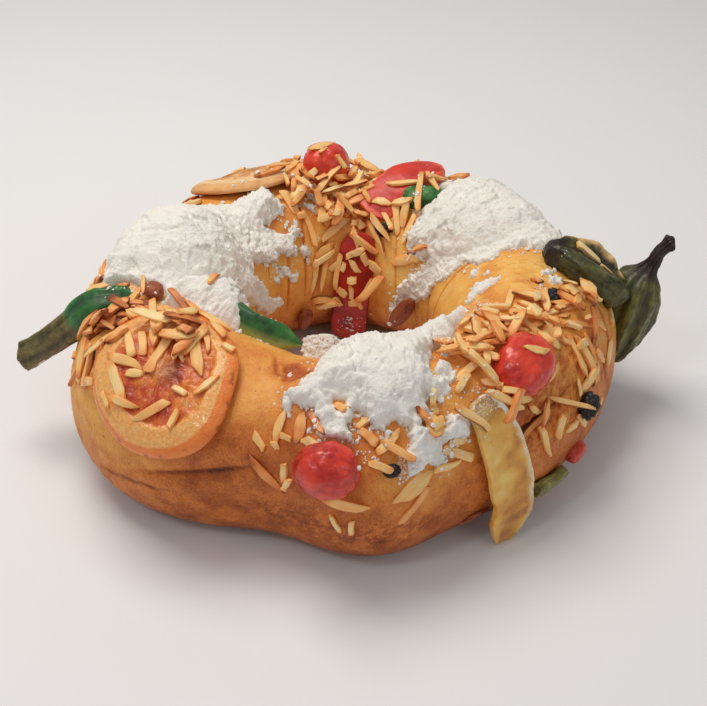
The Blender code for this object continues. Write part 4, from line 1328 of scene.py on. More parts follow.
@dataclass(frozen=True)
class RoundFruit:
    """A cherry, nut, raisin or lump: an ellipsoid that creases and wrinkles draw in.

    Attributes:
        name: The CAD node that it stands for.
        at: u and v of its seat.
        turn: Turn on the crust in degrees.
        size: Length along, across and outwards in mm.
        lift: Height of its middle over the crust in mm.
        crease: Depth of the broad creases as a share of the radius.
        wrinkle: Depth of the fine wrinkles as a share of the radius.
        seed: Picks its creases.
        square: Power of its outline, 2 for an ellipsoid and more for a block.
        detail: Points round it and along it.
    """

    name: str
    at: Pair
    turn: float
    size: Triple
    lift: float
    crease: float
    wrinkle: float
    seed: int
    square: float = 2.0
    detail: tuple[int, int] = (96, 64)

    def build(self) -> Surface:
        """Builds it from directions of a sphere, scaled to its sizes and drawn in by ridged noise.

        Returns:
            The closed fruit with tone and grain marks.
        """
        around, rows = self.detail
        bearing, polar = np.meshgrid(
            np.arange(around) * 2 * math.pi / around, np.linspace(0.02, math.pi - 0.02, rows), indexing="xy"
        )
        way = np.stack([np.cos(polar), np.sin(polar) * np.cos(bearing), np.sin(polar) * np.sin(bearing)], -1)
        if self.square > 2:
            way = way / np.sum(np.abs(way) ** self.square, -1, keepdims=True) ** (1 / self.square)
        noise = Unevenness(self.seed)
        broad = noise.layers(way, 0.9, 2)
        ridged = np.abs(noise.layers(way * (1.0, 1.3, 1.3), 0.7, 2))
        fine = np.abs(noise.layers(way * (1.0, 2.2, 2.2), 0.42, 2))
        swell = 1 + self.crease * broad - self.wrinkle * (1 - smooth_step(ridged, 0.0, 0.35))
        swell -= 0.45 * self.wrinkle * (1 - smooth_step(fine, 0.0, 0.3))
        local = way * swell[..., None] * np.array(self.size) * MM / 2
        spot, along, across, out = RING.seat(*self.at, self.turn)
        points = spot + out * self.lift * MM + local @ np.stack([along, across, out])
        # Painted shade: the tone darkens the creases, the fine wrinkles and the broad dents and pales the
        # swells; besides, it is darker towards one end
        tone = 0.14 * (1 - smooth_step(ridged, 0, 0.3))
        tone += 1.4 * self.wrinkle * (1 - smooth_step(fine, 0, 0.25))
        tone += 0.12 * smooth_step(-way[..., 0], -0.2, 0.9) - 0.14 * broad
        grain = np.stack([way[..., 0] * 2, way[..., 1] * 9, way[..., 2] * 9], -1) * MM
        return Surface.rings(points, {"tone": tone, "grain": grain})


@dataclass(frozen=True)
class Strip:
    """A flat slice of candied fruit laid along the crust.

    Attributes:
        name: The CAD node that it stands for.
        route: Stations of u, v and lift in mm along it.
        width: Full width in mm.
        depth: Thickness in mm.
        outline: Shares of its length, and the share of full width at each.
        seed: Picks its unevenness.
        sag: How far its middle line is lower than its rims, in mm.
        edge: Sharpness of its edges, from 0.2 for cut ones to 1 for round ones.
        lumps: Height of its unevenness in mm.
        furrow: Depth in mm of a hollow along the middle of its top.
        lip: Height in mm by which its far rim stands up.
        detail: Points along it and round it.
    """

    name: str
    route: tuple[Triple, ...]
    width: float
    depth: float
    outline: tuple[tuple[float, ...], tuple[float, ...]]
    seed: int
    sag: float = 0.0
    edge: float = 0.45
    lumps: float = 0.4
    furrow: float = 0.0
    lip: float = 0.0
    detail: tuple[int, int] = (110, 48)

    def build(self) -> Surface:
        """Builds it: a rounded slab section, sized by the outline and carried along the route on the crust.

        Returns:
            The strip with tone and grain marks, and with share along it, side across it and face over it.
        """
        route = np.array(self.route, float)
        stations = RING.crust(route[:, 0], route[:, 1], route[:, 2] * MM)
        outwards = RING.crust(route[:, 0], route[:, 1], (route[:, 2] + 10) * MM) - stations
        rows, around = self.detail
        share = (1 - np.cos(np.linspace(0.02, math.pi - 0.02, rows))) / 2
        path, out = np.split(curve_through(np.hstack([stations, outwards]), share), 2, axis=1)
        across, out = frames_along(path, out)
        bearing = np.arange(around) * 2 * math.pi / around
        c, s = np.cos(bearing), np.sin(bearing)
        side = np.sign(c) * np.abs(c) ** self.edge
        face = np.sign(s) * np.abs(s) ** self.edge
        narrow = np.interp(share, *self.outline)
        half = (narrow * self.width * MM / 2)[:, None]
        thick = (np.minimum(narrow * 2.5, 1) * self.depth * MM / 2)[:, None]
        points = path[:, None] + across[:, None] * (side * half)[..., None]
        rise = face * thick + self.sag * MM * (side**2 - 0.5) * np.minimum(narrow * 2.5, 1)[:, None]
        swell = MM * np.sin(math.pi * share)[:, None]
        rise -= self.furrow * np.exp(-(((side + 0.15) / 0.5) ** 2)) * (face > 0) * swell
        rise += self.lip * smooth_step(-side, 0.5, 0.85) * (face > -0.2) * swell
        points = points + out[:, None] * rise[..., None]
        noise = Unevenness(self.seed)
        push = self.lumps * MM * noise.layers(points, 7 * MM, 4)
        share, side, face = np.broadcast_arrays(share[:, None], side, face)
        shape = Surface.rings(points, {"push": push, "share": share, "side": side, "face": face})
        shape.facing_out()
        shape.points = shape.points + shape.normals() * shape.marks.pop("push")[:, None]
        shape.marks["tone"] = 0.12 * noise.layers(shape.points, 9 * MM, 2)
        grain = np.stack([shape.marks["share"] * 1.5, shape.marks["side"] * 2, shape.marks["face"]], -1)
        shape.marks["grain"] = grain * 5 * MM
        return shape


@dataclass(frozen=True)
class StalkedFruit:
    """A fig or pear with its stalk: ribbed rings of a given girth along a bent axis.

    Attributes:
        name: The CAD node that it stands for.
        axis: Points of its axis in mm, in the ring's frame.
        girth: Shares of its length, and the radius in mm at each.
        ribs: How many ribs it has.
        rib_depth: Their depth as a share of the radius.
        seed: Picks its wrinkles.
        wrinkle: Depth of its wrinkles in mm.
        detail: Points along it and round it.
    """

    name: str
    axis: tuple[Triple, ...]
    girth: tuple[tuple[float, ...], tuple[float, ...]]
    ribs: int
    rib_depth: float
    seed: int
    wrinkle: float = 0.5
    detail: tuple[int, int] = (140, 96)

    def build(self) -> Surface:
        """Builds it from rings round the axis, wide as its girth and waved by the ribs.

        Returns:
            The closed fruit with tone, share and grain marks.
        """
        rows, around = self.detail
        share = (1 - np.cos(np.linspace(0.03, math.pi - 0.03, rows))) / 2
        path = curve_through(np.array(self.axis) * MM, share)
        across, out = frames_along(path, np.tile([0.0, 1.0, 0.0], (rows, 1)))
        bearing = np.arange(around) * 2 * math.pi / around
        noise = Unevenness(self.seed)
        wave = np.stack([np.cos(bearing), np.sin(bearing), 0 * bearing], -1)
        drift = 1.5 * noise.field(wave[None] + np.stack([0 * share, 0 * share, share * 3], -1)[:, None], 0.8)
        rib = np.cos(self.ribs * bearing + drift)
        radius = np.interp(share, *self.girth)[:, None] * MM * (1 + self.rib_depth * rib)
        ring = across[:, None] * np.cos(bearing)[:, None] + out[:, None] * np.sin(bearing)[:, None]
        points = path[:, None] + ring * radius[..., None]
        run, x, y = np.broadcast_arrays(share[:, None], np.cos(bearing), np.sin(bearing))
        place = np.stack([run * 8, x, y], -1)
        fine = noise.layers(place * (0.5, 2.2, 2.2), 0.6, 3)
        points = points + ring * (self.wrinkle * MM * fine)[..., None]
        grain = np.stack([run * 9, 12 * x, 12 * y], -1) * MM
        marks = {"share": run, "tone": 0.1 * fine - 0.16 * rib, "grain": grain}
        return Surface.rings(points, marks)


@dataclass(frozen=True)
class OrangeSlice:
    """A round slice of candied orange, half draped on the crust.

    Attributes:
        name: The CAD node that it stands for.
        at: u and v of its middle.
        turn: Turn on the crust in degrees.
        size: Long and short diameter in mm.
        thick_bearing: Bearing in degrees at which the pith is widest.
        seed: Picks its wrinkles.
        depth: Thickness in mm.
        draping: Share of the way from a flat slice to one that follows the crust.
        segments: How many segments it has.
        detail: Points from the middle of the top to that of the underside, and round it.
        veins: How clearly the walls of its segments show.
        windows: Clear red places in its flesh: shares of the radius along and across, and their spread.
    """

    name: str
    at: Pair
    turn: float
    size: Pair
    thick_bearing: float
    seed: int
    depth: float = 6.5
    draping: float = 0.65
    segments: int = 10
    detail: tuple[int, int] = (150, 260)
    veins: float = 0.2
    windows: tuple[Triple, ...] = (
        (-0.3, -0.32, 0.2), (0.05, 0.2, 0.16), (0.36, -0.12, 0.2), (0.1, -0.5, 0.16), (-0.2, 0.3, 0.13),
    )

    def build(self) -> Surface:
        """Builds it on rings of bearing and share of the radius, first over the top and then underneath.

        The flesh is sunk, with a bulge for each segment and wrinkles drawn towards its rim. The pith round
        it is grainy, and the rind is a smooth rounded edge.

        Returns:
            The slice with marks for tone, membrane, pith, rind and scorch.
        """
        rows, around = self.detail
        run = np.linspace(0.004, 1.996, rows)[:, None]
        share = np.where(run <= 1, run, 2 - run)
        share = np.sin(share * math.pi / 2) ** 0.9
        side = np.where(run <= 1, 1.0, -1.0)
        bearing = (np.arange(around) * 2 * math.pi / around)[None]
        noise = Unevenness(self.seed)
        flat_x, flat_y = np.cos(bearing) * share, np.sin(bearing) * share
        flat = np.stack(np.broadcast_arrays(flat_x, flat_y, side * 0.2), -1)
        uneven = 1 + 0.025 * np.sin(3 * bearing + 1) + 0.015 * np.sin(5 * bearing)
        x, y = (flat_x * self.size[0] * MM / 2 * uneven, flat_y * self.size[1] * MM / 2 * uneven)
        away = np.cos(bearing - math.radians(self.thick_bearing))
        flesh_edge = 0.75 - 0.14 * (0.5 + 0.5 * away) ** 1.5 + 0.05 * noise.layers(flat, 0.3, 3)
        rind_edge = 0.93 - 0.07 * (0.5 + 0.5 * np.cos(bearing - math.radians(self.thick_bearing + 88)))
        core_x = flat_x + 0.1 * math.cos(math.radians(self.thick_bearing))
        core_y = flat_y + 0.1 * math.sin(math.radians(self.thick_bearing))
        spoke = np.arctan2(core_y, core_x) + 0.5 * noise.layers(flat, 0.4, 2)
        radial = np.hypot(core_x, core_y)
        phase = (spoke * self.segments / (2 * math.pi)) % 1
        wall = np.abs(phase - 0.5) * 2
        membrane = smooth_step(wall, 0.8, 0.97) * smooth_step(radial, 0.1, 0.25)
        core = 1 - smooth_step(radial + 0.06 * noise.layers(flat, 0.15, 2), 0.1, 0.2)
        in_flesh = smooth_step(flesh_edge - share, -0.02, 0.06) * (side > 0)
        outwards = share + 0.012 * noise.layers(flat, 0.2, 2)
        in_rind = np.maximum(smooth_step(outwards, rind_edge - 0.02, rind_edge + 0.015), (side < 0) * 0.9)
        drawn = np.stack([spoke * 3.2, radial * 1.1, 0 * radial], -1)
        juice = 0.3 * noise.layers(drawn, 0.22, 2, billow=True) + 1.1 * noise.layers(flat, 0.17, 4)
        bulge = (1 - wall**2.2) * (1 - membrane)
        rim = np.sqrt(np.clip(1 - share**7, 0, 1))
        half = self.depth * MM / 2
        height = half * (1 + side * rim)
        height = height - MM * in_flesh * (1.5 - 0.45 * bulge - 0.8 * juice - 0.5 * core)
        height = height + 0.22 * MM * (1 - in_flesh) * (1 - in_rind) * noise.layers(flat, 0.08, 3)
        height = height + 0.5 * MM * noise.layers(flat, 0.6, 2)
        u, v = RING.patch(self.at, self.turn, x, y)
        draped = RING.crust(u, v, height)
        spot, along, across, out = RING.seat(*self.at, self.turn)
        level = spot + x[..., None] * along + y[..., None] * across + height[..., None] * out
        points = draped + (1 - self.draping) * (level - draped)
        scorch = smooth_step(noise.layers(flat, 0.12, 3), 0.32, 0.5) * smooth_step(share, 0.9, 0.96) * 0.6
        pocket = 0.5 * noise.layers(flat + 3, 0.3, 2)
        for at_x, at_y, spread in self.windows:
            pocket = pocket + np.exp(-((flat_x - at_x) ** 2 + (flat_y - at_y) ** 2) / spread**2)
        grains = smooth_step(noise.layers(flat, 0.1, 3), 0.1, 0.45) * smooth_step(-pocket, -0.1, 0.3)
        marks = {
            "tone": (0.03 * (1 - bulge) - 0.12 * juice + 0.44 * pocket) * in_flesh,
            "membrane": np.clip(membrane * self.veins + core * 0.4 + grains * 0.75, 0, 1) * in_flesh,
            "pith": (1 - in_flesh) * (1 - in_rind),
            "rind": in_rind * np.ones_like(share),
            "scorch": scorch * np.ones_like(share),
        }
        return Surface.rings(points, marks)


class Cut(Enum):
    """How an almond was cut: into sticks, broad flakes or broken chips."""

    STICK = "stick"
    FLAKE = "flake"
    CHIP = "chip"


@dataclass(frozen=True)
class CutSize:
    """How large one kind of sliver is, in mm.

    Attributes:
        length: Least and greatest length.
        width: Least and greatest width.
        depth: Usual thickness.
    """

    length: Pair
    width: Pair
    depth: float


CUT_SIZES = {
    Cut.STICK: CutSize((9, 19), (2.6, 4.2), 1.8),
    Cut.FLAKE: CutSize((10, 17), (4.4, 7.2), 1.3),
    Cut.CHIP: CutSize((3.5, 9), (2.0, 4.2), 1.6),
}
# How likely a sliver stays where it lands, by the name of what carries it
SLIVER_HOLDS = {
    "bread": 1.0,
    "orange_slice_front": 0.9,
    "orange_slice_back": 0.15,
    "red_slab": 0.04,
    "red_strip": 0.25,
    "cherry_back": 0.08,
    "citron_strip": 0.05,
    "brown_almond_crest": 0.1,
    "brown_almond_low": 0.1,
    "brown_almond_edge": 0.3,
    "green_chunk": 0.3,
}


@dataclass(frozen=True)
class Drift:
    """Slivers scattered round a place.

    Attributes:
        at: u and v of its middle.
        spread: Spread along both in degrees.
        sticks: How many sticks it has.
        flakes: How many flakes.
        chips: How many chips.
        dark: How much darker than usual they are.
    """

    at: Pair
    spread: Pair
    sticks: int
    flakes: int = 0
    chips: int = 0
    dark: float = 0.0


class Ground:
    """What a sliver or crumb can come to rest on: the dough and the toppings, as search trees."""

    def __init__(self, surfaces: dict[str, Surface]) -> None:
        """Makes a search tree for each named surface."""
        self.trees: dict[str, BVHTree] = {}
        for name, surface in surfaces.items():
            polygons = [list(face) for array in surface.faces for face in array.tolist()]
            self.trees[name] = BVHTree.FromPolygons([Vector(p) for p in surface.points.tolist()], polygons)

    def height(self, spot: Array, out: Array) -> tuple[float, str, Array]:
        """Looks down on a place from 30 mm above it.

        Args:
            spot: A place on the crust.
            out: The way out of it.

        Returns:
            How far above the place the topmost surface lies, its name, and its outward direction.
        """
        above, lowest, reach = 30 * MM, -12 * MM, 45 * MM
        found = (lowest, "", out)
        start = Vector(spot + out * above)
        for name, tree in self.trees.items():
            _, normal, _, distance = tree.ray_cast(start, Vector(-out), reach)
            if distance is not None and above - distance > found[0]:
                found = (above - distance, name, np.array(normal))
        return found


@dataclass(frozen=True)
class Sliver:
    """One sliver at rest.

    Attributes:
        middle: Its middle.
        ahead: Direction along it.
        sideways: Direction across it.
        upright: Direction out of its upper side.
        length: Length in metres.
        width: Width in metres.
        depth: Thickness in metres.
        cut: How it was cut.
        tone: How dark it is.
    """

    middle: Array
    ahead: Array
    sideways: Array
    upright: Array
    length: float
    width: float
    depth: float
    cut: Cut
    tone: float


@dataclass
class Slivers:
    """Slivered almonds, dropped one after another so that each leans on what is under it.

    Attributes:
        ground: What they fall on.
        draw: The draws that the slivers take in turn.
        rows: The slivers that stayed.
        tops: Places along the upper side of each.
    """

    ground: Ground
    draw: np.random.Generator = field(default_factory=lambda: np.random.default_rng(31))
    rows: list[Sliver] = field(default_factory=list)
    tops: list[Array] = field(default_factory=list)

    def support(self, point: Array, out: Array) -> float:
        """Looks for slivers that already lie near a point.

        Args:
            point: The point.
            out: The way out of the crust there.

        Returns:
            How high above the point the topmost of them reaches, or -1 with none.
        """
        nothing, latest, beside, reach = -1.0, 260, 2.4 * MM, 14 * MM
        if not self.tops:
            return nothing
        ways = np.concatenate(self.tops[-latest:]) - point
        up = ways @ out
        aside = np.linalg.norm(ways - up[:, None] * out, axis=1)
        near = (aside < beside) & (np.abs(up) < reach)
        return float(up[near].max()) if near.any() else nothing

    @staticmethod
    def resting(stations: Array, heights: list[float]) -> Pair:
        """Finds the flattest line that rests on two heights and clears the others.

        Args:
            stations: Five places along a sliver, in metres.
            heights: The height under each.

        Returns:
            The line's slope and its height in the middle.
        """
        flattest, best, level = 1.0, 0.0, heights[2]
        sinks, steepest = 0.4 * MM, 0.5
        for i, j in ((0, 2), (0, 3), (0, 4), (1, 2), (1, 3), (1, 4), (2, 3), (2, 4)):
            slope = (heights[j] - heights[i]) / (stations[j] - stations[i])
            start = heights[i] - slope * stations[i]
            clear = all(start + slope * x >= h - sinks for x, h in zip(stations, heights))
            if clear and abs(slope) < flattest:
                flattest, best, level = abs(slope), slope, start
        return float(np.clip(best, -steepest, steepest)), level

    def drop(
        self, at: Pair, turn: float, length: float, width: float, cut: Cut, tone: float, sure: bool = False
    ) -> None:
        """Drops one sliver, which comes to rest on the highest two places under it.

        Args:
            at: u and v of its middle.
            turn: Its turn on the crust in degrees.
            length: Length in metres.
            width: Width in metres.
            cut: How it was cut.
            tone: How dark it is, about -0.4 to 0.5.
            sure: Keeps it wherever it lands.
        """
        spot, along, _, out = RING.seat(*at, turn)
        rise, name, normal = self.ground.height(spot, out)
        if name == "" or (not sure and self.draw.random() > SLIVER_HOLDS.get(name, 0.0)):
            return
        if name != "bread" and float(normal @ out) > 0.2:
            out = unit(0.5 * out + 0.5 * normal)
            along = unit(along - out * float(along @ out))
            rise = self.ground.height(spot, out)[0]
        stations = np.array([-0.46, -0.23, 0, 0.23, 0.46]) * length
        heights = []
        for x in stations:
            point = spot + along * x
            below = max(self.ground.height(point, out)[0], rise - 5 * MM)
            heights.append(max(below, self.support(point, out)))
        slope, level = self.resting(stations, heights)
        highest = 8 * MM
        # One that would hang too high over what is under it falls away
        if level > rise + highest:
            return
        depth = CUT_SIZES[cut].depth * MM * self.draw.uniform(0.75, 1.25)
        middle = spot + out * (level + depth * 0.42)
        ahead = unit(along + out * slope)
        upright = unit(out - ahead * float(out @ ahead))
        sideways = np.cross(upright, ahead)
        roll = math.radians(self.draw.normal(0, 9))
        upright, sideways = (
            upright * math.cos(roll) + sideways * math.sin(roll),
            sideways * math.cos(roll) - upright * math.sin(roll),
        )
        tone += 0.18 * math.exp(-((angle_between(at[0], 201) / 9) ** 2))
        ridge = np.outer(np.linspace(-0.42, 0.42, 5) * length, ahead)
        self.tops.append(middle + ridge + upright * depth * 0.5)
        self.rows.append(Sliver(middle, ahead, sideways, upright, length, width, depth, cut, tone))

    def scatter(self, drift: Drift) -> None:
        """Drops the slivers of a drift, with lengths and widths as uneven as a knife leaves them.

        Args:
            drift: The drift.
        """
        cuts = [Cut.STICK] * drift.sticks + [Cut.FLAKE] * drift.flakes + [Cut.CHIP] * drift.chips
        for cut in self.draw.permutation(np.array(cuts, object)):
            at = self.draw.normal(drift.at, drift.spread)
            length = self.draw.uniform(*CUT_SIZES[cut].length) * MM
            width = self.draw.uniform(*CUT_SIZES[cut].width) * MM
            tone = self.draw.normal(drift.dark, 0.19)
            self.drop(at, self.draw.uniform(0, 180), length, width, cut, tone)

    def build(self) -> Surface:
        """Builds all slivers at once: an eight-sided section carried along seven stations of each.

        The half width falls off towards pointed ends and the section is an oblong with its corners cut.

        Returns:
            The slivers with tone, skin and grain marks.
        """
        draw = np.random.default_rng(77)
        number = len(self.rows)

        def column(name: str) -> Array:
            """Returns one field of all slivers."""
            return np.array([getattr(row, name) for row in self.rows])

        middle, ahead, sideways, upright = map(column, ("middle", "ahead", "sideways", "upright"))
        numbers = ("length", "width", "depth", "tone")
        length, width, depth, tone = (column(name)[:, None, None] for name in numbers)
        flake, chip = ((column("cut") == cut)[:, None, None] for cut in (Cut.FLAKE, Cut.CHIP))
        share = np.array([-1, -0.9, -0.55, 0, 0.55, 0.9, 1])[None, :, None]
        end = np.abs(share)
        near_end, at_end = end > 0.8, end > 0.95
        each, each_station = (number, 1, 1), (number, share.size, 1)
        first, last = draw.random((2, number, 1, 1)) ** 1.8 * 0.95
        blunt = np.where(chip, 0.5, 1.0)
        bend, twist = draw.normal(0, 0.035, each), draw.normal(0, 0.03, each)
        arch = draw.normal(0.02, 0.02, each)
        lean = draw.uniform(-0.5, 0.5, each)
        broad = np.array([1, 0.82, -0.82, -1, -1, -0.82, 0.82, 1])
        high = np.array([0.6, 1, 1, 0.6, -0.6, -1, -1, -0.6])
        point = blunt * np.where(share < 0, first, last)
        narrow = (1 - 0.85 * point * end**2.2) * np.where(at_end, 0.7, 1)
        oval = np.sqrt(1 - (0.93 * end) ** 2.2) * (1 - 0.3 * point * end)
        narrow = np.where(flake, oval, narrow)
        narrow = narrow * (1 + draw.normal(0, 0.08, each_station))
        thin = (1 - 0.35 * point * end**2) * np.where(at_end, 0.6, 1)
        thin = thin * (1 + draw.normal(0, 0.1, each_station))
        x = share * length / 2 + lean * width * 0.5 * broad * near_end
        y = broad * width / 2 * narrow + length * (bend * (share**2 - 0.4) + twist * share**3)
        z = high * depth / 2 * thin - arch * length * share**2
        y, z = y + draw.normal(0, 0.06, y.shape) * width * 0.5, z + draw.normal(0, 0.05, z.shape) * depth
        points = middle[:, None, None] + x[..., None] * ahead[:, None, None]
        points = points + y[..., None] * sideways[:, None, None] + z[..., None] * upright[:, None, None]
        tips = draw.uniform(0, 0.4, (number, 2, 1))[:, [0, 0, 0, 0, 1, 1, 1]] * near_end
        edge = 0.14 * (np.abs(broad) > 0.9) - 0.04 * (high > 0.9)
        tone = tone - 0.1 + tips + edge
        tone = tone + draw.normal(0, 0.05, y.shape) + draw.normal(0, 0.07, each_station)
        brown = (draw.random(each) < 0.14) & (broad > 0.9)
        skin = np.where(brown, 0.85, 0.0) * (1 + 0 * share)
        grain = np.stack([x * 0.12, y, z], -1) + draw.uniform(0, 1, (number, 1, 1, 3))
        parts = []
        for k in range(number):
            marks = {"tone": tone[k], "skin": skin[k], "grain": grain[k]}
            parts.append(Surface.rings(points[k], marks).facing_out())
        return Surface.joined(parts)


@dataclass(frozen=True)
class Crumbs:
    """Loose crumbs of icing sugar round the heaps, on the crust and on what lies there.

    Attributes:
        count: How many are tried round each heap.
        seed: Picks their places.
        largest_mm: The size that none passes before it is made rough.
    """

    count: int = 4200
    seed: int = 5
    largest_mm: float = 3.2

    def build(self, heaps: list[SugarHeap], ground: Ground, extra: tuple[tuple[float, ...], ...]) -> Surface:
        """Builds the crumbs: small balls of five rings of six points, made rough by draws.

        Args:
            heaps: The heaps that they fell from.
            ground: What they lie on.
            extra: More places, each with u, v, spread in degrees and a count.

        Returns:
            All crumbs as one surface.
        """
        draw = np.random.default_rng(self.seed)
        places: list[Triple] = []
        for heap in heaps:
            blob = draw.integers(len(heap.blobs), size=self.count)
            at = np.array(heap.blobs)[blob]
            angle, far = draw.uniform(0, 2 * math.pi, self.count), draw.uniform(0.85, 1.5, self.count)
            u = at[:, 0] + np.cos(angle) * far * np.degrees(at[:, 2] * MM / RING.crust_radius)
            v = at[:, 1] + np.sin(angle) * far * np.degrees(at[:, 3] * MM / RING.section_radius)
            depth = heap.inside(u, v)
            keep = (depth < 0.5) & (draw.random(self.count) < np.exp(-np.clip(-depth, 0, 30) / 2.2) * 0.5)
            size = draw.gamma(1.4, 0.45, self.count) + 0.3
            places += list(zip(u[keep], v[keep], size[keep]))
        for u, v, spread, count in extra:
            ring = draw.normal((u, v), spread, (int(count), 2))
            places += [(a, b, 0.3 + draw.gamma(1.5, 0.3)) for a, b in ring]
        rows, around = 5, 6
        polar = np.linspace(0.35, math.pi - 0.35, rows)[:, None]
        bearing = (np.arange(around) * 2 * math.pi / around)[None]
        ball_x, ball_y = np.sin(polar) * np.cos(bearing), np.sin(polar) * np.sin(bearing)
        ball = np.stack(np.broadcast_arrays(ball_x, ball_y, np.cos(polar)), -1)
        parts = []
        for u, v, size in places:
            spot, along, across, out = RING.seat(u, v)
            rise, name, _ = ground.height(spot, out)
            if not name:
                continue
            radius = min(size, self.largest_mm) * MM / 2
            rough = 1 + draw.normal(0, 0.26, (rows, around, 1))
            local = ball * rough * radius * draw.uniform((0.7, 0.7, 0.4), (1.5, 1.5, 0.8))
            points = spot + out * (rise + radius * 0.3) + local @ np.stack([along, across, out])
            parts.append(Surface.rings(points, {"tone": np.zeros((rows, around))}).facing_out())
        return Surface.joined(parts)


# The heaps: blobs, rim, islands and gaps of each, and what picks its lumps
SUGAR_HEAPS = [
    SugarHeap(
        "sugar_left",
        (
            (167, 96, 31, 30, 15), (151, 112, 24, 22, 5), (182, 82, 18, 19, 5), (123, 112, 20, 13, 7.5),
            (121, 141, 14, 10, 3.5), (139, 138, 16, 12, 3.5), (160, 140, 24, 14, 4),
            (206, 121, 22, 19, 11.5),
        ),
        (
            (143, 80), (139, 89), (137, 95), (130, 99), (124, 92), (120, 93), (118, 100), (118, 109),
            (116, 114), (119, 119), (123, 121), (130, 124), (125, 131), (121, 134), (115, 132),
            (112, 134), (119, 139), (117, 146), (122, 149), (125, 144), (134, 147), (139, 142),
            (146, 139), (154, 147), (146, 157), (143, 168), (131, 176), (139, 178), (144, 180),
            (150, 172), (166, 156), (173, 147), (180, 137), (192, 140), (206, 146), (221, 143),
            (226, 132), (223, 121), (217, 112), (211, 107), (207, 102), (201, 92), (194, 86), (191, 66),
            (189, 60), (183, 58), (178, 56), (172, 60), (165, 63), (156, 66), (148, 74),
        ),
        (
            (112, 148, 2.4), (126, 158, 1.8), (122, 163, 1.6), (101, 112, 3.2), (104, 119, 2.2),
            (133, 160, 1.5),
        ),
        ((192, 74, 2.4), (200, 100, 1.8)),
        41,
        ("green_strip",),
    ),
    SugarHeap(
        "sugar_right",
        ((37, 95, 30, 28, 11), (20, 80, 22, 15, 4), (48, 120, 20, 24, 5), (57, 146, 10, 22, 3.5)),
        (
            (60, 80), (60, 94), (60, 110), (57, 121), (56, 130), (57, 137), (53, 143), (46, 144),
            (38, 142), (42, 151), (48, 160), (55, 168), (56, 179), (61, 194), (56, 192), (46, 180),
            (38, 170), (33, 163), (28, 150), (24, 144), (20, 139), (20, 134), (19, 129), (13, 122),
            (10, 116), (9, 110), (12, 105), (11, 97), (10, 88), (8, 80), (9, 74), (16, 62), (24, 55),
            (35, 54), (46, 58), (55, 68),
        ),
        (
            (351, 126, 4.2), (352, 118, 3.0), (352, 112, 1.8), (5, 125, 1.8), (1, 118, 1.5), (354, 76, 3.0),
            (357, 82, 2.2),
        ),
        ((50, 141, 1.6),),
        43,
    ),
    SugarHeap(
        "sugar_front",
        (
            (280, 92, 30, 24, 12), (264, 76, 19, 14, 6), (302, 112, 26, 14, 6), (326, 115, 26, 12, 4),
            (284, 52, 12, 22, 4), (297, 50, 15, 10, 4), (270, 56, 9, 12, 4),
        ),
        (
            (256, 68), (259, 76), (262, 88), (264, 100), (268, 112), (276, 122), (288, 127), (300, 128),
            (312, 130), (325, 134), (338, 138), (350, 142), (346, 134), (331, 123), (319, 115),
            (311, 105), (305, 104), (299, 98), (294, 84), (293, 76), (295, 71), (296, 65), (292, 65),
            (289, 64), (289, 57), (286, 52), (290, 47), (292, 49), (293, 54), (296, 51), (298, 46),
            (297, 38), (292, 40), (290, 38), (291, 33), (290, 28), (286, 30), (283, 29), (281, 26),
            (280, 32), (281, 39), (283, 44), (283, 51), (282, 57), (281, 60), (279, 56), (278, 54),
            (276, 57), (275, 63), (273, 66), (271, 58), (272, 51), (272, 45), (270, 50), (268, 49),
            (265, 50), (265, 56), (263, 64), (260, 64),
        ),
        ((297, 79, 3.2), (298, 73, 2.0), (302, 90, 1.8), (257, 62, 2.0), (279, 50, 2.0), (276, 38, 1.0)),
        ((268.8, 68.5, 2.6), (273, 64, 1.6)),
        47,
    ),
]

# Outlines of the strips: shares of the length, and the share of the full width at each
SLAB = ((0, 0.03, 0.12, 0.9, 0.97, 1), (0.3, 0.75, 1, 1, 0.75, 0.3))
POINTED = ((0, 0.05, 0.2, 0.55, 0.85, 1), (0.4, 0.85, 1, 0.8, 0.35, 0.04))
TONGUE = ((0, 0.04, 0.25, 0.6, 0.66, 0.8, 0.95, 1), (0.35, 0.7, 0.95, 1.02, 0.92, 1.06, 0.66, 0.3))
FIG_OUTLINE = (
    (0, 0.05, 0.14, 0.24, 0.4, 0.62, 0.86, 0.96, 1),
    (0.2, 0.34, 0.42, 0.7, 0.96, 1, 0.72, 0.4, 0.12),
)

CHERRIES = (
    RoundFruit("cherry_front", (267.5, 33), 0, (28, 23.5, 22), 5, 0.08, 0.03, 3),
    RoundFruit("cherry_right", (316.5, 62), 20, (29.5, 24, 20), 2, 0.1, 0.02, 4, 2.6),
    RoundFruit("cherry_back", (97, 84), 0, (25, 23, 25.5), 6, 0.1, 0.03, 5, 2.4),
    RoundFruit("cherry_left", (158, 56), 0, (24, 18, 10), 1.4, 0.07, 0.05, 6),
)
GREEN_CHUNK = RoundFruit("green_chunk", (60, 106), 30, (20, 12, 11), 2, 0.1, 0.05, 7, 3.0)
RAISINS = (
    RoundFruit("raisin_right", (330, 15), 40, (13, 11.5, 10), 2.4, 0.12, 0.13, 9),
    RoundFruit("raisin_shoulder", (346, 76), 0, (13, 8, 7), 0.5, 0.12, 0.2, 10),
    RoundFruit("raisin_left", (208.5, 48.5), 30, (9, 8, 7), 1, 0.12, 0.2, 11),
    RoundFruit("raisin_hollow", (71, 134), 0, (10, 8, 8), 0.5, 0.12, 0.2, 12),
    RoundFruit("raisin_front", (279, 32), 0, (8, 6, 6), 0.5, 0.12, 0.2, 13),
)
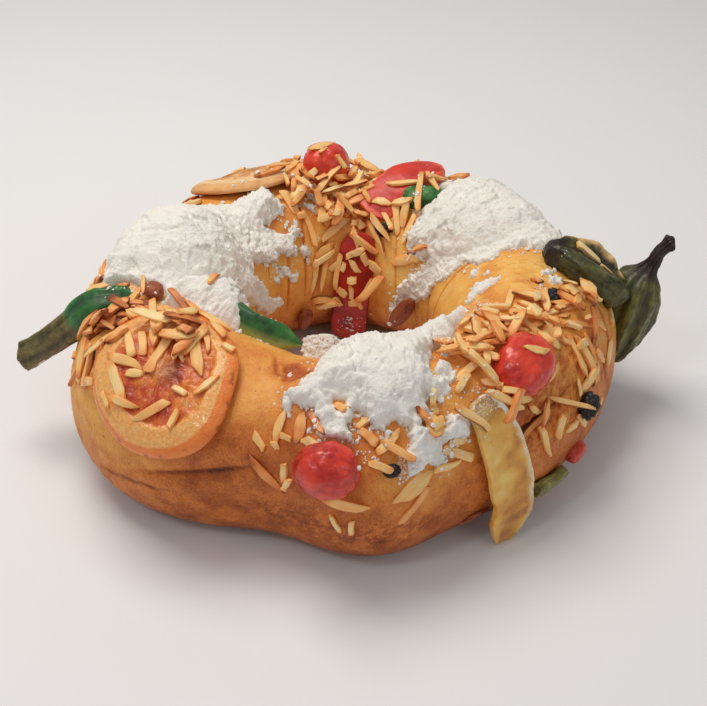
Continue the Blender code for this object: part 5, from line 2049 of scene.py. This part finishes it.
BROWN_ALMONDS = (
    RoundFruit("brown_almond_crest", (196, 89), 15, (13, 9, 7), 3, 0.05, 0.05, 14),
    RoundFruit("brown_almond_low", (201, 80), 60, (14, 8, 5), 2, 0.05, 0.05, 15),
    RoundFruit("brown_almond_edge", (197.5, 49), 70, (15, 8, 4.5), 2, 0.05, 0.05, 16),
    RoundFruit("almond_inner_right", (49.5, 184), 55, (25, 9, 7), 5, 0.04, 0.04, 17),
    RoundFruit("almond_inner_left", (117, 197), 80, (14, 8, 6), 4, 0.04, 0.04, 18),
)
RED_FRUIT = (
    RoundFruit("red_dice", (328, -20), 0, (12, 8, 8), 1, 0.08, 0.05, 19, 3.0),
    Strip("red_slab", ((62, 74, 4), (70, 96, 4.6), (79, 124, 3.4)), 21, 6.5, SLAB, 61),
    Strip(
        "red_strip",
        ((82, 136, 4.6), (84.5, 156, 4.6), (86.5, 182, 4.2), (88, 203, 5.2), (89, 219, 10)),
        18.5, 4, SLAB, 62,
    ),
)
GREEN_STRIP = Strip(
    "green_strip",
    ((194, 122, 3), (208, 126, 4), (222, 129, 4.6), (235, 132, 5.2), (248, 135, 6)),
    11, 12, POINTED, 63,
)
CITRON_STRIP = Strip(
    "citron_strip",
    ((300.5, 55, 3), (302.5, 38, 3.4), (304.5, 14, 3.4), (305.3, -14, 5), (305, -34, 10), (304.5, -42, 13)),
    21.5, 4.2, TONGUE, 64,
    sag=1.4,
    edge=0.35,
)
GREEN_RIND = Strip("green_rind", ((313, -22, 3), (318, -25, 3.2), (323, -24, 3)), 8, 5, SLAB, 65)
FIG_HALF = Strip(
    "fig_half",
    ((3.8, 83, 5), (2.2, 66, 6), (0.8, 47, 6), (-0.2, 30, 5.6)),
    29, 12.5, FIG_OUTLINE, 66,
    edge=0.62,
    lumps=1.5,
    furrow=3.6,
    lip=3.4,
    detail=(140, 150),
)
SUGARED_CHUNK = RoundFruit("sugared_chunk", (260, 127), 10, (17, 13.5, 13), 4, 0.1, 0.1, 8, 5.0)
FIG_WHOLE = StalkedFruit(
    "fig_whole",
    ((130, 12, 17), (133.5, 12, 38), (138, 12, 58), (142.5, 12, 70), (147, 12, 79), (153.5, 12, 86)),
    (
        (0, 0.05, 0.2, 0.4, 0.56, 0.66, 0.72, 0.78, 0.92, 0.97, 1),
        (1, 6, 11.5, 13.8, 12.6, 9.5, 5, 3, 2.6, 4.2, 1),
    ),
    9, 0.06, 71, 1.5,
)
GREEN_PEAR = StalkedFruit(
    "green_pear",
    ((-92, -22, 76), (-111, -20.5, 68.5), (-121.6, -20, 61), (-136, -20, 50), (-150, -20, 41)),
    ((0, 0.08, 0.25, 0.42, 0.52, 0.65, 0.85, 0.97, 1), (1, 6.5, 9.5, 9, 7.2, 6.6, 6.6, 7.2, 2.5)),
    6, 0.06, 72,
)
ORANGE_FRONT = OrangeSlice("orange_slice_front", (227.4, 59.9), -42, (73, 59), -48, 81)
ORANGE_BACK = OrangeSlice("orange_slice_back", (117, 62), 0, (67, 64), -90, 82, veins=0.9)

# Every fruit and nut with its finish, in the order in which they are laid
FRUIT: tuple[tuple[Finish, tuple[RoundFruit | Strip | StalkedFruit | OrangeSlice, ...]], ...] = (
    (CANDIED_CHERRY, CHERRIES),
    (CANDIED_GREEN, (GREEN_CHUNK,)),
    (RAISIN_SKIN, RAISINS),
    (ALMOND_SKIN, BROWN_ALMONDS),
    (CANDIED_PUMPKIN, RED_FRUIT),
    (CANDIED_GREEN, (GREEN_STRIP,)),
    (CANDIED_CITRON, (CITRON_STRIP,)),
    (CANDIED_FIG, (GREEN_RIND, FIG_HALF)),
    (SUGARED_PEEL, (SUGARED_CHUNK,)),
    (CANDIED_FIG, (FIG_WHOLE,)),
    (CANDIED_GREEN, (GREEN_PEAR,)),
    (CANDIED_ORANGE, (ORANGE_FRONT,)),
    (DRIED_ORANGE, (ORANGE_BACK,)),
)

# Slivers that the photo shows one by one: u, v and turn in degrees, then length and width in mm, and tone
MARKED_SLIVERS = (
    (106, 103.5, 146, 12, 5.0, 0), (97.5, 101, 52, 26, 3.5, 0.08), (94.5, 91.5, 150, 8, 2.5, -0.1),
    (99, 87, 53, 7, 2.5, 0), (90, 62.5, 139, 10, 2.5, 0.1), (92.5, 91.5, 48, 21, 3.5, 0.05),
    (90.5, 112.5, 41, 16, 4.0, 0.05), (100.5, 124.5, 128, 12, 3.5, 0.05), (94.5, 132, 45, 20, 4.0, 0),
    (89, 119, 63, 8, 3.0, 0.1), (85, 138, 112, 11, 3.0, -0.05), (78.5, 142.5, 132, 17, 3.0, 0),
    (74, 138.5, 131, 21, 3.0, 0.1), (72, 132.5, 134, 17, 3.5, -0.1), (84, 127.5, 136, 7, 4.0, -0.1),
    (87.5, 150, 32, 7, 3.0, -0.1), (81.5, 147.5, 31, 7, 3.0, -0.15), (77, 154, 102, 7, 3.5, -0.15),
    (86, 159, 115, 8, 3.0, -0.1), (94.5, 165, 82, 19, 3.0, 0.05), (92, 160.5, 71, 5, 2.5, -0.1),
    (70.5, 160.5, 133, 9, 5.0, -0.05), (87.5, 171.5, 4, 5, 4.0, -0.1), (77, 179.5, 61, 13, 3.0, -0.1),
    (93, 180, 132, 6, 3.5, -0.1), (87.5, 181, 91, 8, 2.5, -0.05), (84, 188.5, 20, 7, 3.5, -0.05),
    (75.5, 188, 91, 6, 2.0, 0), (95, 188, 129, 6, 3.0, -0.05), (107.5, 132, 105, 21, 3.0, 0.15),
    (102.5, 169, 81, 16, 2.5, 0), (102.5, 190, 31, 12, 2.5, -0.05), (112.5, 108, 9, 15, 4.0, 0.1),
    (106.5, 64, 176, 6, 3.5, 0), (108, 90.5, 49, 17, 3.5, 0.1), (107, 109, 161, 10, 4.0, 0.1),
    (68, 102.5, 17, 17, 3.5, -0.1), (60.5, 109, 113, 30, 3.5, 0.05), (59, 95.5, 149, 15, 3.0, 0.05),
    (60, 89, 54, 12, 2.0, 0.05), (73.5, 116, 166, 10, 3.5, -0.1), (65.5, 116.5, 19, 10, 4.0, -0.05),
    (70, 129.5, 129, 11, 2.5, -0.1), (58.5, 130.5, 95, 16, 3.0, -0.05), (53.5, 149.5, 31, 17, 4.5, 0),
    (44, 139.5, 28, 19, 3.0, 0.3), (70, 174.5, 65, 19, 4.0, 0.15), (50.5, 84.5, 10, 11, 4.0, 0.2),
    (331, 108, 60, 17, 4.0, 0), (330, 99, 71, 29, 6.0, 0.05), (320.5, 93.5, 135, 23, 3.0, 0.18),
    (326, 73.5, 137, 23, 5.0, 0.12), (332, 75, 158, 24, 3.0, 0.05), (340.5, 70.5, 150, 24, 2.5, 0),
    (340.5, 56, 141, 27, 3.0, 0.12), (346.5, 44.5, 130, 20, 3.0, 0.05), (332.5, 62.5, 88, 13, 3.0, -0.05),
    (332.5, 46, 72, 19, 3.5, 0.05), (335, 39.5, 88, 23, 3.5, 0.08), (338.5, 41.5, 77, 13, 3.0, 0.1),
    (337, 25.5, 41, 13, 3.0, 0.05), (310, 75.5, 103, 11, 6.0, -0.05), (303.5, 73, 14, 20, 3.5, 0.05),
    (305.5, 83, 89, 17, 3.5, 0.05), (317.5, 63, 136, 11, 3.0, -0.05), (308, 54, 115, 8, 3.0, 0.05),
    (308.5, 58, 154, 2, 3.0, -0.1), (308.5, 54, 149, 8, 3.0, -0.1), (311.5, 50.5, 174, 8, 3.0, -0.15),
    (312.5, 46.5, 150, 7, 3.0, -0.1), (306.5, 51, 138, 19, 3.5, -0.05), (305.5, 61.5, 146, 8, 3.5, 0.05),
    (299, 66.5, 36, 10, 3.5, -0.1), (297.5, 48.5, 139, 18, 3.5, -0.08), (315, 37, 134, 10, 3.5, -0.1),
    (315.5, 25.5, 14, 20, 2.5, 0.2), (315.5, 13, 95, 17, 3.0, -0.05), (320, 17, 58, 10, 3.0, -0.1),
    (324.5, 8.5, 168, 10, 3.5, -0.1), (329, 4, 127, 14, 3.0, 0), (325, 25, 142, 27, 2.5, -0.05),
    (338, -3.5, 15, 12, 2.5, 0.1), (353, 59.5, 27, 7, 2.5, -0.1), (343, 53.5, 156, 8, 2.0, -0.1),
    (220, 46, 147, 19, 5.0, -0.05), (223, 54.5, 25, 8, 3.5, -0.1), (224.5, 38.5, 8, 13, 3.5, 0),
    (230, 43, 52, 16, 4.0, 0.05), (238.5, 62.5, 57, 12, 3.0, -0.1), (230.5, 80, 129, 26, 4.5, 0.1),
    (227.5, 76, 137, 11, 2.5, -0.1), (223, 72, 103, 25, 4.5, 0.1), (235.5, 41.5, 85, 8, 2.5, -0.05),
    (233.5, 55.5, 170, 7, 2.5, -0.1), (236, 87.5, 172, 6, 3.0, -0.12), (226.5, 71.5, 120, 9, 2.5, -0.05),
    (230, 87.5, 133, 13, 2.5, 0.15), (220, 85, 85, 20, 4.0, 0), (226, 99, 1, 18, 3.5, 0.05),
    (229.5, 95.5, 162, 13, 3.5, 0.1), (224.5, 86.5, 123, 15, 3.5, 0.1), (217, 65, 153, 15, 4.0, 0),
    (219, 68.5, 145, 12, 4.0, 0.05), (220, 72, 144, 12, 3.5, 0), (219.5, 57.5, 22, 17, 4.0, 0.05),
    (209.5, 58, 92, 9, 3.5, 0.05), (205.5, 34, 90, 22, 3.0, 0), (209.5, 40.5, 100, 19, 3.0, 0.05),
    (211.5, 45, 97, 9, 3.0, 0), (190, 58.5, 80, 12, 5.0, -0.1), (178, 57.5, 1, 18, 3.5, 0.15),
    (196, 74.5, 148, 15, 6.0, -0.08), (193.5, 83.5, 176, 13, 2.0, -0.05), (206.5, 104, 11, 19, 3.5, 0.35),
    (213, 110, 10, 17, 3.5, 0.1), (204, 118, 148, 10, 3.0, 0.1), (202, 71, 102, 9, 4.0, 0.5),
    (201.5, 53.5, 84, 12, 3.5, 0.5), (204, 66.5, 85, 12, 4.0, 0.45), (207.5, 84.5, 40, 11, 3.5, 0.4),
    (202, 78.5, 71, 6, 3.0, 0.1), (207.5, 69.5, 157, 11, 3.5, 0.1), (213.5, 62, 85, 11, 3.5, 0.1),
    (252, 40.5, 135, 8, 3.0, 0), (256, 51, 80, 13, 3.5, -0.05), (256, 40.5, 120, 4, 2.5, 0),
    (258, 46, 167, 5, 2.5, -0.05), (260.5, 52, 91, 13, 5.5, 0.3), (264.5, 56.5, 137, 13, 3.0, 0.35),
    (263.5, 45.5, 158, 7, 4.0, -0.05), (254, 21, 140, 21, 3.5, 0.45), (258, 24.5, 91, 8, 3.0, -0.1),
    (259, 18.5, 62, 7, 2.5, 0), (269.5, 66.5, 146, 8, 3.0, 0.1), (274, 58.5, 41, 6, 3.0, 0.05),
    (279, 47.5, 37, 13, 3.5, -0.05), (286, 50.5, 117, 11, 3.5, 0.3), (277, 35, 154, 10, 3.0, 0),
    (283, 20.5, 31, 18, 7.0, 0), (283, 8.5, 45, 19, 3.5, 0.25), (271, 15.5, 155, 19, 5.5, 0.15),
    (268.5, -1.5, 117, 10, 2.5, -0.1), (271.5, -2, 89, 8, 2.5, -0.1), (293.5, 30.5, 148, 17, 4.0, -0.1),
    (293.5, 37.5, 171, 9, 3.5, -0.1), (290, 27, 167, 14, 3.0, -0.05), (299, -31, 20, 13, 5, 0.6),
    (4.5, 62, 75, 14, 3.4, -0.3), (0, 50, 100, 8, 2.4, -0.3), (355.5, 30, 20, 9, 2.6, -0.2),
)

# Slivers scattered between and beyond those
DRIFTS = (
    Drift((93, 102), (8, 12), 50, 26, 26),
    Drift((96, 80), (12, 8), 24, 10, 12),
    Drift((80, 100), (5, 14), 8, 5, 6),
    Drift((110, 108), (5, 10), 8, 2, 6, 0.1),
    Drift((203, 62), (6, 13), 12, 5, 8, 0.25),
    Drift((190, 74), (4, 8), 3, 1, 4, 0.2),
    Drift((219, 84), (5, 4), 9, 2, 8),
    Drift((212, 45), (5, 12), 4, 1, 3),
    Drift((333, 72), (12, 12), 16, 5, 10),
    Drift((318, 90), (8, 8), 14, 4, 12),
    Drift((308, 78), (5, 9), 10, 3, 10, 0.05),
    Drift((330, 34), (9, 12), 3, 1, 3),
    Drift((350, 56), (6, 12), 8, 3, 4),
    Drift((102, 160), (5, 10), 3, 1, 3),
    Drift((60, 40), (26, 22), 20, 6, 8),
    Drift((125, 42), (22, 20), 18, 6, 8),
    Drift((165, 40), (18, 18), 8, 3, 4),
    Drift((24, 30), (10, 12), 7, 3, 3),
    Drift((285, 54), (7, 7), 5, 2, 5, 0.1),
    Drift((66, 122), (3, 6), 3, 1, 5),
)

# Sugar grains that lie away from the heaps: u, v, spread in degrees and a count
STRAY_SUGAR = (
    (331, 112, 3.5, 70), (87, 205, 5, 46), (352, 84, 2.5, 26), (208, 122, 6, 40), (235, 128, 5, 16),
    (303, 62, 4, 16), (100, 110, 9, 26), (300, 60, 6, 20),
)


@dataclass(frozen=True)
class BoloRei:
    """The whole bread: builds its pieces in the order in which a baker lays them."""

    def mark_fruit(self, made: dict[str, Surface]) -> None:
        """Adds the zones of colour and the sugar dust that belong to single pieces.

        Args:
            made: The fruit and nuts by name, whose marks are changed.
        """

        def marks(name: str) -> dict[str, Array]:
            """Returns the marks of one piece."""
            return made[name].marks

        def noise(name: str, size: float, seed: int) -> Array:
            """Returns noise over one piece, with lumps of a size in mm."""
            return Unevenness(seed).layers(made[name].points, size * MM, 3)

        pear = marks("green_pear")
        pear["bark"] = smooth_step(pear["share"] + 0.06 * noise("green_pear", 8, 1), 0.44, 0.54)
        upper = made["green_pear"].normals()[:, 2] + noise("green_pear", 7, 12)
        pear["dust"] = 0.3 * smooth_step(pear["share"], 0.93, 0.99) + 0.24 * pear["bark"]
        pear["dust"] += 0.4 * smooth_step(upper, 0.3, 0.8) * smooth_step(pear["share"], 0.6, 0.8)
        strip = marks("green_strip")
        strip["pale"] = 0.8 * smooth_step(-strip["face"] + 0.2 * noise("green_strip", 5, 2), 0.1, 0.6)
        strip["tone"] = strip["tone"] - 0.3 * smooth_step(strip["share"], 0.8, 1.0)
        whole = marks("fig_whole")
        whole["dark"] = smooth_step(whole["share"] + 0.03 * noise("fig_whole", 6, 3), 0.64, 0.74)
        half = marks("fig_half")
        rough = noise("fig_half", 6, 4)
        middle = 1 - np.abs(half["side"] + 0.2) + 0.5 * rough
        half["dark"] = 0.85 * smooth_step(middle, 0.45, 0.85) * (half["face"] > 0.1) * (half["share"] < 0.72)
        half["dark"] = np.clip(half["dark"] + smooth_step(-half["share"], -0.2, -0.06), 0, 1)
        rim = smooth_step(-half["side"] + 0.15 * rough, 0.6, 0.75) * smooth_step(half["face"], -0.6, 0.0)
        half["pale"] = rim * smooth_step(half["share"], 0.15, 0.3)
        half["tone"] = half["tone"] + 0.12
        marks("cherry_front")["tone"] += 0.12
        height = made["cherry_back"].points[:, 2]
        below = np.ptp(height) * 0.75 - height + height.min()
        marks("cherry_back")["tone"] -= 0.3 * smooth_step(below, 0, 10 * MM)
        marks("green_chunk")["tone"] -= 0.2
        slab = marks("red_slab")
        rim = np.maximum(slab["side"] ** 2, (2 * slab["share"] - 1) ** 4) + 0.25 * noise("red_slab", 8, 5)
        slab["pale"] = 0.8 * smooth_step(rim, 0.5, 0.8)
        slab["tone"] = slab["tone"] - 0.2
        red = marks("red_strip")
        red["dust"] = 0.4 * smooth_step(red["share"] + 0.1 * noise("red_strip", 7, 9), 0.62, 0.95)
        red["tone"] = red["tone"] + 0.12
        citron = marks("citron_strip")
        citron["pale"] = 0.85 * smooth_step(-citron["side"] + 0.2 * noise("citron_strip", 4, 6), 0.66, 0.86)
        run = citron["share"]
        citron["dark"] = 0.6 * smooth_step(-run + 0.12 * noise("citron_strip", 6, 7), -0.2, -0.04)
        citron["dust"] = 0.6 * citron["pale"] * (run < 0.7) + 0.5 * smooth_step(-run, -0.3, -0.05)
        shade = 0.3 * smooth_step(run, 0.45, 0.75) - 0.2 * smooth_step(citron["side"], 0.0, 0.9)
        citron["tone"] = citron["tone"] + shade - 0.14 + 0.5 * noise("citron_strip", 9, 8)
        marks("red_dice")["tone"] += 0.15
        marks("red_dice")["pale"] = np.full(len(made["red_dice"].points), 0.7)
        marks("green_rind")["tone"] -= 0.3
        marks("sugared_chunk")["dust"] = np.full(len(made["sugared_chunk"].points), 0.6)

    def build(self) -> None:
        """Builds, dresses and places every piece."""
        dough = Dough().build(SUGAR_HEAPS)
        fruit = {piece.name: piece.build() for _, pieces in FRUIT for piece in pieces}
        self.mark_fruit(fruit)
        dough.piece("bread_crust", CRUST, "bread")
        for finish, pieces in FRUIT:
            for piece in pieces:
                fruit[piece.name].piece(piece.name + "_candied", finish, piece.name)
        heaps = {heap.name: heap.build(fruit) for heap in SUGAR_HEAPS}
        for name, surface in heaps.items():
            surface.piece(name + "_powder", ICING_SUGAR, name)
        slivers = Slivers(Ground({"bread": dough, **fruit, **heaps}))
        for u, v, turn, length, width, tone in MARKED_SLIVERS:
            cut = Cut.FLAKE if width > 4.8 else Cut.STICK if length > 8.5 else Cut.CHIP
            slivers.drop((u, v), turn, length * MM, width * MM, cut, tone, sure=True)
        for drift in DRIFTS:
            slivers.scatter(drift)
        almonds = slivers.build()
        almonds.piece("almond_slivers", TOASTED_ALMOND, "bread", sharp=40)
        LOG.info("%d slivers", len(slivers.rows))
        ground = Ground({"bread": dough, "slivers": almonds, **fruit})
        crumbs = Crumbs().build(SUGAR_HEAPS, ground, STRAY_SUGAR)
        crumbs.piece("sugar_crumbs", ICING_SUGAR, sharp=40)


@dataclass(frozen=True)
class Studio:
    """A plain pale floor, soft lights and the photograph's camera.

    Attributes:
        elevation: Height of the camera over the horizon in degrees.
        distance: From the camera to what it looks at.
        focal_px: Focal length in pixels.
        width_px: Width of the picture that the focal length is for.
        aim: What it looks at, in the ring's frame.
        sky: Strength of the light from all round.
        half_floor: Half of the floor's side in metres.
        lamps: Name, place and side in metres, watts and tint of each soft light.
    """

    elevation: float = 35
    distance: float = 0.62
    focal_px: float = 1290
    width_px: float = 707
    aim: Triple = (0.004, 0.0, 0.03)
    sky: float = 0.33
    half_floor: float = 3.0
    lamps: tuple[tuple[str, Triple, float, float, str], ...] = (
        ("key", (-0.28, 0.22, 1.0), 0.6, 6.6, "FFF6EA"),
        ("fill", (0.7, -0.8, 0.7), 0.6, 0.9, "FFFDFA"),
        ("glint", (-0.45, -0.6, 0.9), 0.16, 0.9, "FFFFFF"),
    )

    def look(self, thing: bpy.types.Object, place: Array, target: Array) -> None:
        """Puts a camera or light in its place and turns it to a target.

        Args:
            thing: The camera or light.
            place: Its place.
            target: What it faces.
        """
        thing.location = Vector(place)
        thing.rotation_mode = "QUATERNION"
        thing.rotation_quaternion = Vector(target - place).to_track_quat("-Z", "Y")
        bpy.context.scene.collection.objects.link(thing)

    def lamp(self, name: str, place: Triple, size: float, watts: float, tint: str) -> None:
        """Adds one square soft light that faces the bread.

        Args:
            name: Its name.
            place: Its place in metres.
            size: Its side in metres.
            watts: Its power.
            tint: Its sRGB hex colour.
        """
        light = bpy.data.lights.new(name, "AREA")
        light.size = size
        light.energy = watts
        light.color = linear(tint)[:3]
        self.look(bpy.data.objects.new(name, light), np.array(place), np.array([0, 0, 0.05]))

    def build(self) -> None:
        """Sets up floor, world, lights and camera."""
        scene = bpy.context.scene
        scene.view_settings.view_transform = "Standard"
        world = bpy.data.worlds.new("studio")
        scene.world = world
        world.use_nodes = True
        background = world.node_tree.nodes["Background"]
        background.inputs["Color"].default_value = linear("FBFAF8")
        background.inputs["Strength"].default_value = self.sky
        half = self.half_floor
        corners = [(-half, -half, 0.0), (half, -half, 0.0), (half, half, 0.0), (-half, half, 0.0)]
        mesh = bpy.data.meshes.new("floor")
        mesh.from_pydata(corners, [], [(0, 1, 2, 3)])
        pale = ((0.0, "F3F5F9"), (1.0, "F0F2F6"))
        board = Finish("painted_board", "stage", pale, size_mm=300, roughness=(0.7, 0.8))
        mesh.materials.append(board.material())
        floor = bpy.data.objects.new("floor", mesh)
        scene.collection.objects.link(floor)
        floor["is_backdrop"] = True
        for lamp in self.lamps:
            self.lamp(*lamp)
        camera = bpy.data.cameras.new("camera")
        camera.sensor_width = 36
        camera.lens = 36 * self.focal_px / self.width_px
        camera.clip_start = 0.05
        camera.dof.use_dof = False
        target = np.array(self.aim) + RING_PLACE
        e = math.radians(self.elevation)
        place = target + self.distance * np.array([0, -math.cos(e), math.sin(e)])
        viewer = bpy.data.objects.new("camera", camera)
        self.look(viewer, place, target)
        scene.camera = viewer


def main() -> None:
    """Builds the studio and the bread."""
    logging.basicConfig(level=logging.INFO, format="%(message)s")
    Studio().build()
    BoloRei().build()


if __name__ == "__main__":
    main()
